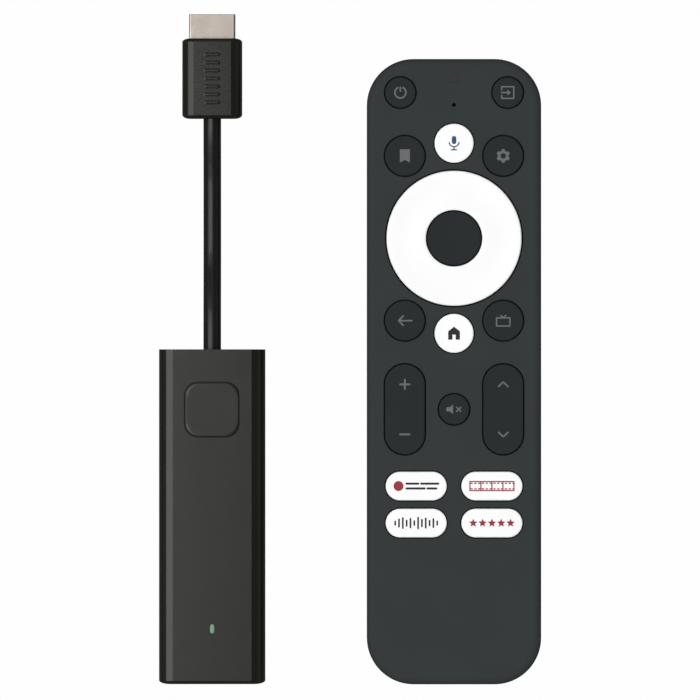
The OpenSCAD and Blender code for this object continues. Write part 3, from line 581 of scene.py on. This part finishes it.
def make_plug_shell():
    """The plug's folded metal tube, with two latch holes in its underside."""
    box = Box("plug_shell")
    wall, lip = 0.35, 0.12
    outer = [(0, box.low.y), (0, box.high.y - lip), (lip * 0.3, box.high.y - lip * 0.3), (lip, box.high.y)]
    inner = [(wall - lip * 0.4, box.high.y), (wall, box.high.y - lip), (wall, box.low.y)]
    bm = bmesh.new()
    skin(bm, [[(box.mid.x + x, y, box.mid.z + z) for x, z in plug_section(inset)]
              for inset, y in outer + inner], closed=True)
    shell = piece("plug_metal_shell", bm, MATERIALS["plug_metal"])
    holes = bmesh.new()
    hole_w, hole_l, hole_x, hole_back = 2.2, 1.8, 3.2, 3.7
    for side in (-1, 1):
        stack(holes, hole_w, hole_l, 0.3, [(0, -1), (0, box.low.z + 1)],
              (box.mid.x + side * hole_x, box.high.y - hole_back), 4)
    carve(shell, holes)
    even(shell)
    return place(shell, "stick", "plug_metal", "plug_shell")


add_camera()
cord = make_cord()
grip = make_grip()
plug_shell = make_plug_shell()
route_length(CORD_ROUTE) * MM


# ---------------------------------------------------------------- stick
def stick_block(bm, inset=0.0):
    """The stick's outer form, or its hollow when inset by the wall."""
    cord_end, far_end = stick.high.y - inset, stick.low.y + inset
    narrow, lower, depth = 3.0, 0.55, 1.1
    stations = end_roll(narrow, lower, depth, far_end, -1) + [(0, 0, cord_end)]
    bar(bm, stick.size.x - 2 * inset, STICK_TOP - 2 * inset, STICK_EDGE - inset, stations,
        (stick.mid.x, STICK_TOP / 2), 8, faceted)


def make_stick_shells():
    """The two hollow halves of the case, open for the inlet, the cord, the button and the lamp."""
    button, lamp, port = Box("stick_button"), Box("stick_light_pipe"), Box("stick_power_port")
    grommet = Box("cable_grommet")
    span, through = 400, [(0, STICK_TOP - 2), (0, STICK_TOP + 1)]
    for name, low, high in (("stick_top_shell", SEAM_Z, STICK_TOP + 1), ("stick_bottom_shell", -1, SEAM_Z)):
        bm = bmesh.new()
        stick_block(bm)
        shell = piece(name + "_moulding", bm, MATERIALS["stick_plastic"])
        hollow = bmesh.new()
        stick_block(hollow, STICK_WALL)
        carve(shell, hollow)
        holes = bmesh.new()
        bar(holes, port.size.x + 2 * PORT_GAP, port.size.z + 2 * PORT_GAP, port.size.z / 2 + PORT_GAP,
            [(0, 0, port.low.y - 2), (0, 0, port.low.y + 2)], (port.mid.x, port.mid.z))
        neck = grommet.size.x / 2 - GROMMET_FLANGE
        hole = [(neck, -STICK_WALL - 1), (neck, 1)]
        loft(holes, lathe_y(hole, (grommet.mid.x, grommet.mid.z), stick.high.y, -1))
        if high > STICK_TOP:
            opening = button.size.x - 2 * BUTTON_RIM + 2 * BUTTON_GAP
            stack(holes, opening, opening, BUTTON_CORNER + BUTTON_GAP, through, button.mid[:2], 12)
            width, length = (size + 2 * LAMP_GAP for size in LAMP_SIZE)
            stack(holes, width, length, width / 2, through, lamp.mid[:2], 8)
        carve(shell, holes)
        half = bmesh.new()
        stack(half, span, span, 1, [(0, low), (0, high)], stick.mid[:2], 2)
        carve(shell, half, "INTERSECT")
        soften(shell, 0.13)
        place(shell, "stick", "stick_plastic", name)


def make_stick_button():
    """The button's cap with its faint dish, the rim that holds it in the case, and its plunger."""
    box = Box("stick_button")
    width = box.size.x - 2 * BUTTON_RIM
    edge, rim_t, plunger_r, top = 0.28, 0.8, 2.0, box.high.z
    rim_top = top - STICK_WALL - RIM_GAP
    dish = [(1.2, top - 0.002), (3.0, top - 0.01), (6.0, top - 0.016)]
    bm = bmesh.new()
    stack(bm, width, width, BUTTON_CORNER, [(0, rim_top)] + roll_top(edge, top, 5) + dish, box.mid[:2], 14)
    stack(bm, box.size.x, box.size.x, BUTTON_CORNER + BUTTON_RIM, [(0, rim_top - rim_t), (0, rim_top)],
          box.mid[:2], 14)
    stack(bm, 2 * plunger_r, 2 * plunger_r, plunger_r, [(0, box.low.z), (0, rim_top - rim_t)],
          box.mid[:2], 12)
    settle("stick_button_cap", bm, "button_plastic", "stick_button", "stick_button")


def make_lamp():
    """The light pipe: an oval lens in the case's top, and its wider foot below the wall."""
    box = Box("stick_light_pipe")
    edge, sunk, lens_h, foot_corner = 0.12, 0.02, 2.4, 1.2
    width, length = LAMP_SIZE
    bm = bmesh.new()
    stack(bm, width, length, width / 2, [(0, box.high.z - lens_h)] + roll_top(edge, box.high.z - sunk, 3),
          box.mid[:2], 8)
    stack(bm, box.size.x, box.size.y, foot_corner, [(0, box.low.z), (0, box.high.z - STICK_WALL - RIM_GAP)],
          box.mid[:2], 8)
    settle("stick_lamp_lens", bm, "lamp", "stick", "stick_light_pipe")


def make_grommet():
    """The ring that the cord leaves through: a neck in the wall and a flange behind it."""
    box = Box("cable_grommet")
    chamfer, lead_in, depth = 0.12, 0.1, 2.6
    bore = CORD_DIAMETER / 2 + 0.04
    neck = box.size.x / 2 - GROMMET_FLANGE - GROMMET_GAP
    flange = neck + GROMMET_FLANGE
    profile = [(neck, -chamfer), (neck, -STICK_WALL), (flange, -STICK_WALL - GROMMET_GAP), (flange, -depth),
               (bore, -depth), (bore, -lead_in), (bore + lead_in, 0), (neck - chamfer, 0)]
    bm = bmesh.new()
    skin(bm, lathe_y(profile, (box.mid.x, box.mid.z), stick.high.y), closed=True)
    settle("cable_grommet_ring", bm, "cord_rubber", "stick", "cable_grommet")


def make_power_port():
    """The power inlet's drawn metal shell, open at the end of the case and closed behind."""
    box = Box("stick_power_port")
    wall, back, edge, edge_l = 0.3, 0.6, 0.08, 0.1
    bm = bmesh.new()
    stations = [(0, 0, box.high.y), (0, 0, box.low.y + edge_l), (edge, edge, box.low.y)]
    bar(bm, box.size.x, box.size.z, box.size.z / 2, stations, (box.mid.x, box.mid.z))
    port = piece("power_inlet_shell", bm, MATERIALS["bright_metal"])
    mouth = bmesh.new()
    bar(mouth, box.size.x - 2 * wall, box.size.z - 2 * wall, box.size.z / 2 - wall,
        [(0, 0, box.low.y - 1), (0, 0, box.high.y - back)], (box.mid.x, box.mid.z))
    carve(port, mouth)
    soften(port, 0.05, 2)
    place(port, "stick", "bright_metal", "stick_power_port")


make_stick_shells()
make_stick_button()
make_lamp()
make_grommet()
make_power_port()

# ---------------------------------------------------------------- remote case
cover = Box("battery_cover")
REMOTE_SEAM = remote.low.z
COVER_END = cover.high.y - LATCH_REACH
ROUND_KEYS = ["power_key", "input_key", "bookmark_key", "assistant_key", "settings_key", "back_key",
              "home_key", "live_tv_key", "mute_key"]
ROCKERS = ["volume_rocker", "channel_rocker"]
APP_KEYS = ["app_key_1", "app_key_2", "app_key_3", "app_key_4"]
WHITE_KEYS = {"assistant_key", "home_key", *APP_KEYS}


def key_size(name):
    """Width and length of the part of a key that shows."""
    box = Box(name)
    reach = PILL_FLANGE if name in APP_KEYS else FLANGE
    length = box.size.y if name in ROCKERS else box.size.y - 2 * reach
    return box.size.x - 2 * reach, length


def remote_block(bm, inset=0.0):
    """The whole remote's outer form, or a form that lies so far below its surface."""
    front_edge = max(REMOTE_FRONT_EDGE - inset, 0.3)
    profile = roll_bottom(REMOTE_REAR_EDGE - inset, inset, 10) + roll_top(front_edge, FACE_TOP - inset, 8)
    stack(bm, remote.size.x - 2 * inset, remote.size.y - 2 * inset, REMOTE_CORNER - inset, profile,
          remote.mid[:2], 20)


def remote_shell(name):
    """The remote's whole case as one hollow piece, to be cut into its parts."""
    bm = bmesh.new()
    remote_block(bm)
    shell = piece(name, bm, MATERIALS["remote_plastic"])
    hollow = bmesh.new()
    remote_block(hollow, REMOTE_WALL)
    carve(shell, hollow)
    return shell


def keep_part(shell, low, high, from_y, to_y):
    """Keeps what lies between two heights and two places along Y."""
    part = bmesh.new()
    stack(part, 100, to_y - from_y, 0.01, [(0, low), (0, high)], (remote.mid.x, (from_y + to_y) / 2), 1)
    carve(shell, part, "INTERSECT")


def make_front_shell():
    """The face, open for the keys, the ring, the microphone, the indicator and the window."""
    shell = remote_shell("remote_front_moulding")
    keep_part(shell, REMOTE_SEAM, FACE_TOP + 5, -CLEAR, CLEAR)
    holes = bmesh.new()
    through = [(0, FACE_TOP - REMOTE_WALL - 1), (0, FACE_TOP + 1)]
    for name in ROUND_KEYS + ROCKERS + APP_KEYS:
        width, length = key_size(name)
        stack(holes, width + 2 * KEY_GAP, length + 2 * KEY_GAP, min(width, length) / 2 + KEY_GAP, through,
              Box(name).mid[:2], 20)
    ring, microphone, indicator = Box("direction_ring"), Box("microphone"), Box("indicator_window")
    opening = ring.size.x - 2 * RING_FLANGE + 2 * RING_GAP
    stack(holes, opening, opening, opening / 2, through, ring.mid[:2], 36)
    stack(holes, 2 * MIC_HOLE_R, 2 * MIC_HOLE_R, MIC_HOLE_R, through, microphone.mid[:2], 6)
    stack(holes, indicator.size.x + 2 * LENS_GAP, indicator.size.y + 2 * LENS_GAP, indicator.size.x, through,
          indicator.mid[:2], 8)
    window = Box("ir_window")
    bar(holes, window.size.x + 2 * WINDOW_GAP, window.size.z + 2 * WINDOW_GAP, WINDOW_GAP,
        [(0, 0, remote.high.y - 3), (0, 0, remote.high.y + 1)], (window.mid.x, window.mid.z), 6)
    carve(shell, holes)
    soften(shell, 0.16)
    place(shell, "remote", "remote_plastic", "remote_front_shell")


def remote_slice(inset, low, high, from_y, to_y, wall=0.0):
    """A length of the remote's form, inset from its surface; with a wall it is hollow."""
    bm = bmesh.new()
    remote_block(bm, inset)
    part = piece("slice", bm)
    if wall:
        hollow = bmesh.new()
        remote_block(hollow, inset + wall)
        carve(part, hollow)
    keep_part(part, low, high, from_y, to_y)
    return part


def make_rear_shell():
    """The back, with a thin lip that reaches in under the end of the battery cover."""
    shell = remote_shell("remote_rear_moulding")
    keep_part(shell, -1, REMOTE_SEAM, COVER_END + COVER_GAP, CLEAR)
    depth, sunk, overlap = LAP_SKIN + LAP_CLEAR, 0.05, 2
    lip = remote_slice(depth, -1, REMOTE_SEAM - COVER_SEAM - sunk, COVER_END - LAP, COVER_END + overlap,
                       REMOTE_WALL - depth - sunk)
    combine(shell, lip, "UNION")
    soften(shell, 0.14)
    place(shell, "remote", "remote_plastic", "remote_rear_shell")


def make_battery_cover():
    """The cover: a rebate for the rear shell's lip, two latch tongues on their roots, thumb grooves."""
    shell = remote_shell("battery_cover_moulding")
    keep_part(shell, -1, REMOTE_SEAM - COVER_SEAM, -CLEAR, COVER_END)
    combine(shell, remote_slice(LAP_SKIN, -1, REMOTE_SEAM + 1, COVER_END - LAP - LAP_CLEAR, COVER_END + 1))
    root, tongue = (-0.3, 0.5, 3.1, 1.5), (COVER_GAP, COVER_GAP + 1.2, 3.2, -LATCH_REACH)
    for low, high, back, front in (root, tongue):
        latches = bmesh.new()
        profile = [(0, REMOTE_WALL + low)] + roll_top(0.3, REMOTE_WALL + high, 2)
        for side in (-1, 1):
            stack(latches, LATCH_W, back - front, 0.4, profile,
                  (remote.mid.x + side * LATCH_X, COVER_END - (back + front) / 2), 3)
        carve(shell, latches, "UNION")
    grooves = bmesh.new()
    widest, narrowing, pitch, groove_w, groove_depth, from_end = 14, 1.6, 2.1, 0.9, 0.35, 12
    for i in range(5):
        stack(grooves, widest - narrowing * i, groove_w, 0.44, [(0, -1), (0, groove_depth)],
              (remote.mid.x, cover.high.y - from_end - pitch * i), 5)
    carve(shell, grooves)
    soften(shell, 0.14)
    place(shell, "battery_cover", "remote_plastic", "battery_cover")


make_front_shell()
make_rear_shell()
make_battery_cover()


# ---------------------------------------------------------------- symbols
def polar(centre, radius, degrees):
    angle = math.radians(degrees)
    return centre[0] + radius * math.cos(angle), centre[1] + radius * math.sin(angle)


class Marks:
    """Symbols printed on a key, drawn in millimetres about a point on its top."""

    def __init__(self, at, z):
        self.bm = bmesh.new()
        self.at, self.z = at, z

    def row(self, points, z):
        return [(self.at[0] + x, self.at[1] + y, z) for x, y in points]

    def fill(self, points):
        """A filled shape, a hair above the one before, so that no faces share a plane."""
        self.z += PRINT_STEP
        loft(self.bm, [self.row(points, self.z + height) for height in (-PRINT_H, PRINT_H)])

    def band(self, outer, inner):
        """The area between two closed lines of as many points."""
        self.z += PRINT_STEP
        low, high = self.z - PRINT_H, self.z + PRINT_H
        corners = ((outer, low), (outer, high), (inner, high), (inner, low))
        skin(self.bm, [self.row(points, z) for points, z in corners], closed=True)

    def stroke(self, points, width):
        """A line of round-ended strokes."""
        for (x0, y0), (x1, y1) in zip(points, points[1:]):
            heading = math.degrees(math.atan2(y1 - y0, x1 - x0))
            ends = []
            for (x, y), turn in (((x0, y0), 90), ((x1, y1), -90)):
                ends += [polar((x, y), width / 2, heading + turn + 22.5 * k) for k in range(9)]
            self.fill(ends)

    def arc(self, centre, radius, start, end, width):
        """A round-ended stroke along part of a circle, from one angle to the other in degrees."""
        steps = max(4, int(abs(end - start) / 12))
        turns = [start + (end - start) * k / steps for k in range(steps + 1)]
        outer = [polar(centre, radius + width / 2, turn) for turn in turns]
        inner = [polar(centre, radius - width / 2, turn) for turn in turns]
        self.fill(outer + inner[::-1])
        for turn in (start, end):
            self.disc(polar(centre, radius, turn), width / 2)

    def disc(self, centre, radius):
        self.fill([polar(centre, radius, 18 * k) for k in range(20)])

    def star(self, centre, radius):
        """A five-pointed star."""
        self.fill([polar(centre, radius * (0.45 if k % 2 else 1), 90 + 36 * k) for k in range(10)])

    def done(self, name, body, material):
        """Turns the shapes into one piece on the key's body."""
        mesh = as_mesh(name, self.bm)
        mesh.materials.append(MATERIALS[material])
        obj = add_object(name, mesh)
        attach(obj, body)


def draw_power(m):
    m.arc((0, 0), 1.65, 118, 422, 0.5)
    m.stroke([(0, 0.4), (0, 1.6)], 0.45)


def draw_input(m):
    m.stroke([(-1.8, 0.85), (-1.8, 1.75), (1.8, 1.75), (1.8, -1.75), (-1.8, -1.75), (-1.8, -0.85)], 0.42)
    m.stroke([(-1.9, 0), (0.2, 0)], 0.45)
    m.fill([(-0.1, 0.9), (-0.1, -0.9), (0.95, 0)])


def draw_bookmark(m):
    m.fill([(-1.5, 2), (-1.5, -2), (0, -1.2), (1.5, -2), (1.5, 2)])


def draw_settings(m):
    tooth_r, root_r, hole_r = 2.05, 1.6, 0.8
    outer, inner = [], []
    for k in range(72):
        turn = 5 * (k + 0.5)
        outer.append(polar((0, 0), tooth_r if 3 <= k % 12 <= 8 else root_r, turn))
        inner.append(polar((0, 0), hole_r, turn))
    m.band(outer, inner)


def draw_back(m):
    m.stroke([(2.1, 0), (-1.8, 0)], 0.48)
    m.stroke([(-0.5, 1.4), (-1.9, 0), (-0.5, -1.4)], 0.5)


def draw_home(m):
    m.fill([(0, 2.0), (-1.75, 0.6), (-1.75, -1.9), (-0.5, -1.9), (-0.5, -0.4), (0.5, -0.4), (0.5, -1.9),
            (1.75, -1.9), (1.75, 0.6)])


def draw_live_tv(m):
    m.stroke([(-2.0, 0.85), (2.0, 0.85), (2.0, -1.6), (-2.0, -1.6), (-2.0, 0.85)], 0.42)
    m.stroke([(-0.75, 1.6), (0, 0.9), (0.75, 1.6)], 0.36)


def draw_mute(m):
    m.fill([(-2.3, -0.6), (-1.4, -0.6), (-0.3, -1.4), (-0.3, 1.4), (-1.4, 0.6), (-2.3, 0.6)])
    m.stroke([(0.75, -0.65), (2.05, 0.65)], 0.38)
    m.stroke([(0.75, 0.65), (2.05, -0.65)], 0.38)


def draw_volume(m):
    m.stroke([(-1.4, 7.5), (1.4, 7.5)], 0.55)
    m.stroke([(0, 6.1), (0, 8.9)], 0.55)
    m.stroke([(-1.4, -7.5), (1.4, -7.5)], 0.55)


def draw_channel(m):
    m.stroke([(-1.4, 6.9), (0, 8.2), (1.4, 6.9)], 0.5)
    m.stroke([(-1.4, -6.9), (0, -8.2), (1.4, -6.9)], 0.5)


def draw_assistant(m):
    m.stroke([(0, 0.4), (0, 1.5)], 1.35)
    m.arc((0, 0.45), 1.5, 190, 350, 0.36)
    m.stroke([(0, -1.1), (0, -1.9)], 0.36)
    m.stroke([(-0.8, -1.95), (0.8, -1.95)], 0.36)


def draw_list(m):
    for y, runs in ((0.72, ((-2.9, 0.6), (1.5, 6.6))), (-0.72, ((-2.9, 2.5), (3.4, 6.0)))):
        for start, end in runs:
            m.stroke([(start, y), (end, y)], 0.62)


def draw_dot(m):
    m.disc((-5.3, 0), 1.5)


def draw_film(m):
    half_w, half_h, line = 6.6, 1.35, 0.34
    for y in (half_h, -half_h):
        m.stroke([(-half_w, y), (half_w, y)], line)
        for k in range(12):
            x = -6.3 + MARK_PITCH * k
            m.stroke([(x, y * 0.62), (x + 0.4, y * 0.62)], 0.36)
    for k in range(5):
        x = half_w * (k / 2 - 1)
        m.stroke([(x, -half_h), (x, half_h)], line)


def draw_bars(m):
    for k, height in enumerate((0.5, 1.1, 1.5, 0.8, 1.3, 0.6, 1.6, 1.0, 1.4, 0.7, 1.2, 0.5)):
        x = -6.3 + MARK_PITCH * k
        m.stroke([(x, -height), (x, height)], 0.5)


def draw_stars(m):
    for k in range(5):
        m.star((-5.6 + 2.8 * k, 0), 1.35)


# What each key shows, and its ink
SYMBOLS = {
    "power_key": [(draw_power, "print_grey")],
    "input_key": [(draw_input, "print_grey")],
    "bookmark_key": [(draw_bookmark, "print_grey")],
    "settings_key": [(draw_settings, "print_grey")],
    "back_key": [(draw_back, "print_grey")],
    "home_key": [(draw_home, "print_dark")],
    "live_tv_key": [(draw_live_tv, "print_grey")],
    "mute_key": [(draw_mute, "print_grey")],
    "volume_rocker": [(draw_volume, "print_grey")],
    "channel_rocker": [(draw_channel, "print_grey")],
    "assistant_key": [(draw_assistant, "print_blue")],
    "app_key_1": [(draw_list, "print_dark"), (draw_dot, "print_red")],
    "app_key_2": [(draw_film, "print_red")],
    "app_key_3": [(draw_bars, "print_dark")],
    "app_key_4": [(draw_stars, "print_red")],
}


# ---------------------------------------------------------------- keys
def add_symbols(name, z):
    """Prints a key's symbols on it, at a height."""
    for draw, material in SYMBOLS[name]:
        marks = Marks(Box(name).mid[:2], z)
        draw(marks)
        marks.done(name + "_" + draw.__name__[5:] + "_print", name, material)


def make_key(name):
    """A key: its cap with a rolled edge and a shallow dish, its hidden flange and its stems.

    A white key's cap is a piece of its own, because its flange and stems are dark.
    """
    box = Box(name)
    width, length = key_size(name)
    white, rocker = name in WHITE_KEYS, name in ROCKERS
    edge, dish = 0.45, 0.04 if white else 0.07
    top, flange_z = box.high.z, FACE_TOP - REMOTE_WALL - RIM_GAP - FLANGE_T
    flange_top = flange_z + (ROCKER_FLANGE_T if rocker else FLANGE_T)
    flange = [(0, flange_z), (0, flange_top)]
    radius = min(width, length) / 2
    bowl = [(edge + 0.5, top - 0.004), (edge + 1.1, top - dish * 0.7), (edge + 1.5, top - dish)]
    bm = bmesh.new()
    foot_z = flange_top - 0.01 if white else flange_z
    stack(bm, width, length, radius, [(0, foot_z)] + roll_top(edge, top, 6) + bowl, box.mid[:2], 24)
    if white:
        settle(name + "_cap", bm, "white_key", name, name)
        bm = bmesh.new()
    if rocker:
        wing_l, pivot_l = 8, 8
        stems = [-ROCKER_STEM_Y, ROCKER_STEM_Y]
        stack(bm, box.size.x, wing_l, 0.3, flange, box.mid[:2], 3)
        loft(bm, [[(x, box.mid.y + y, ROCKER_AXIS_Z + z) for z, y in circle(1, 24)]
                  for x in (box.mid.x - pivot_l / 2, box.mid.x + pivot_l / 2)])
    else:
        reach = PILL_FLANGE if name in APP_KEYS else FLANGE
        stems = [0]
        stack(bm, width + 2 * reach, length + 2 * reach, radius + reach, flange, box.mid[:2], 24)
    for y in stems:
        stack(bm, 2 * STEM_R, 2 * STEM_R, STEM_R, [(0, box.low.z), (0, flange_z)],
              (box.mid.x, box.mid.y + y), 8)
    settle(name + ("_flange" if white else "_cap"), bm, "dark_key", name, name)
    add_symbols(name, top - dish)


def lathe_z(bm, profile, centre):
    """A closed profile of radius and height turned about an upright line."""
    skin(bm, [[(centre[0] + x, centre[1] + y, z) for x, y in circle(radius, 128)] for radius, z in profile],
         closed=True)


def make_ring():
    """The white ring, dished between its rolled edges, and the dark flange that holds it in the case."""
    box = Box("direction_ring")
    outer, top, low = box.size.x / 2 - RING_FLANGE, box.high.z, box.low.z
    edge, lip, dish, lip_drop, arc_steps = 0.6, 0.45, 0.22, 0.02, 12
    seat_r, skirt_r = 9.6, 13.5
    web_z, cap_z, flange_z, neck_z = low + 0.4, low + 0.69, low + 0.7, low + 1.5
    profile = [(seat_r, cap_z), (outer, cap_z)]
    profile += [(outer - inset, z) for inset, z in roll_top(edge, top, 6)]
    for k in range(1, arc_steps):
        t = k / arc_steps
        r = (outer - edge) * (1 - t) + (RING_HOLE_R + lip) * t
        profile.append((r, top - dish * math.sin(math.pi * t) ** 1.5))
    profile += [(RING_HOLE_R + inset, z) for inset, z in roll_top(lip, top - lip_drop, 5)[::-1]]
    profile += [(RING_HOLE_R, neck_z), (seat_r, neck_z)]
    bm = bmesh.new()
    lathe_z(bm, profile, box.mid[:2])
    settle("direction_ring_cap", bm, "white_key", "direction_ring", "direction_ring")
    bm = bmesh.new()
    lathe_z(bm, [(skirt_r, low), (outer + RING_FLANGE, low), (outer + RING_FLANGE, flange_z),
                 (seat_r, flange_z), (seat_r, web_z), (skirt_r, web_z)], box.mid[:2])
    settle("direction_ring_flange", bm, "dark_key", "direction_ring", "direction_ring")


def make_centre_key():
    """The dished key inside the ring, on its flange."""
    box = Box("centre_key")
    edge, reach, top, flange_top = 0.45, 1, box.high.z, box.low.z + 1
    radius = box.size.x / 2 - reach
    dish = [(1.0, top - 0.005), (2.6, top - 0.12), (4.6, top - 0.22), (6.6, top - 0.27)]
    bm = bmesh.new()
    stack(bm, 2 * radius, 2 * radius, radius, [(0, flange_top)] + roll_top(edge, top, 6) + dish,
          box.mid[:2], 32)
    stack(bm, box.size.x, box.size.y, radius + reach, [(0, box.low.z), (0, flange_top)], box.mid[:2], 32)
    settle("centre_key_cap", bm, "dark_key", "centre_key", "centre_key")


def make_indicator():
    """The smoked lens in the face, and the thinner rod of it that goes down to the board."""
    box = Box("indicator_window")
    top, rod_r, rod_top = box.high.z, 0.9, box.low.z + 1
    bm = bmesh.new()
    stack(bm, box.size.x, box.size.y, 1.2, [(0, rod_top), (0, top - 0.05), (0.03, top - 0.015), (0.1, top)],
          box.mid[:2], 12)
    stack(bm, 2 * rod_r, 2 * rod_r, rod_r, [(0, box.low.z), (0, rod_top)], box.mid[:2], 8)
    settle("indicator_lens", bm, "dark_window", "remote", "indicator_window")


def make_microphone():
    """The microphone's can behind its hole in the face, with a small sound port."""
    box = Box("microphone")
    top, corner, port_r, port_depth = box.high.z, 0.25, 0.25, 0.3
    bm = bmesh.new()
    edge = [(0, top - 0.15), (0.04, top - 0.04), (0.15, top)]
    stack(bm, box.size.x, box.size.y, corner, [(0, box.low.z)] + edge, box.mid[:2], 4)
    can = piece("microphone_can", bm, MATERIALS["chip_black"])
    port = bmesh.new()
    stack(port, 2 * port_r, 2 * port_r, port_r, [(0, top - port_depth), (0, top + 1)], box.mid[:2], 5)
    carve(can, port)
    even(can)
    place(can, "remote", "chip_black", "microphone")


for name in ROUND_KEYS + ROCKERS + APP_KEYS:
    make_key(name)
make_ring()
make_centre_key()
make_indicator()
make_microphone()

# ---------------------------------------------------------------- inner parts, straight from the CAD
shown = {name for obj in bpy.data.objects for name in obj.get("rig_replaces", [])}
slot_of = {part["node"]: part["material_slot"] for part in frame["record"]["subparts"]}
for name, node in frame["nodes"].items():
    if name in shown:
        continue
    node.data.materials.clear()
    node.data.materials.append(MATERIALS[slot_of[name]])
    weld = node.modifiers.new("weld", "WELD")
    weld.merge_threshold = 0.000001
    soften(node, 0.06, 2, 35)


# ---------------------------------------------------------------- stage
STUDIO_WHITE = 0.99


def add_light(name, at, aim, size, radiance):
    """A soft panel of that many metres and that brightness, facing a point."""
    data = bpy.data.lights.new(name, "AREA")
    data.shape = "RECTANGLE"
    data.size, data.size_y = size
    data.energy = radiance * math.pi * size[0] * size[1]
    light = add_object(name, data)
    light.location = at
    light.visible_camera = False
    light.rotation_euler = (Vector(aim) - Vector(at)).to_track_quat("-Z", "Y").to_euler()


def stage_shader(tree, seen, unseen):
    """What the camera sees of the stage, and what its light does elsewhere."""
    path = tree.nodes.new("ShaderNodeLightPath")
    mix = tree.nodes.new("ShaderNodeMixShader")
    tree.links.new(path.outputs["Is Camera Ray"], mix.inputs[0])
    tree.links.new(unseen.outputs[0], mix.inputs[1])
    tree.links.new(seen.outputs[0], mix.inputs[2])
    return mix


def shade(tree, kind, level):
    """A grey background, emission or diffuse shader."""
    node = tree.nodes.new(kind)
    node.inputs["Color"].default_value = (level, level, level, 1)
    return node


def add_floor():
    """A floor that looks white, and throws only a little light back at the object."""
    bm = bmesh.new()
    half, below = 6, 0.0002
    for x, y in ((-half, -half), (half, -half), (half, half), (-half, half)):
        bm.verts.new((x, y, -below))
    bm.faces.new(bm.verts)
    mesh = bpy.data.meshes.new("floor")
    bm.to_mesh(mesh)
    bm.free()
    material = bpy.data.materials.new("floor")
    material.use_nodes = True
    tree = material.node_tree
    tree.nodes.clear()
    seen = shade(tree, "ShaderNodeEmission", STUDIO_WHITE)
    unseen = shade(tree, "ShaderNodeBsdfDiffuse", 0.12)
    out = tree.nodes.new("ShaderNodeOutputMaterial")
    tree.links.new(stage_shader(tree, seen, unseen).outputs[0], out.inputs["Surface"])
    mesh.materials.append(material)
    floor = add_object("floor", mesh)


def add_world():
    """A white surround, with soft fill light on rough surfaces and a dim one in reflections."""
    world = bpy.data.worlds.new("studio")
    bpy.context.scene.world = world
    world.use_nodes = True
    tree = world.node_tree
    tree.nodes.clear()
    white = shade(tree, "ShaderNodeBackground", STUDIO_WHITE)
    dim = shade(tree, "ShaderNodeBackground", 0.1)
    fill = shade(tree, "ShaderNodeBackground", 0.84)
    path = tree.nodes.new("ShaderNodeLightPath")
    soft = tree.nodes.new("ShaderNodeMixShader")
    tree.links.new(path.outputs["Is Diffuse Ray"], soft.inputs[0])
    tree.links.new(dim.outputs[0], soft.inputs[1])
    tree.links.new(fill.outputs[0], soft.inputs[2])
    out = tree.nodes.new("ShaderNodeOutputWorld")
    tree.links.new(stage_shader(tree, white, soft).outputs[0], out.inputs["Surface"])


add_floor()
add_world()
add_light("overhead", (-0.095, 0.7, 1.5), (-0.095, 0.7, 0), (0.53, 2.0), 0.30)
add_light("left_window", (-0.64, 0.02, 1.17), (-0.04, -0.04, 0), (0.65, 1.2), 2.45)
for side, (x, y) in enumerate(((2.6, 0), (-2.6, 0), (0, 2.6), (0, -2.6))):
    add_light(f"side_panel_{side}", (x, y, 1.1), (0, 0, 0.1), (3.4, 1.5), 0.14)
bpy.context.scene.view_settings.view_transform = "Standard"
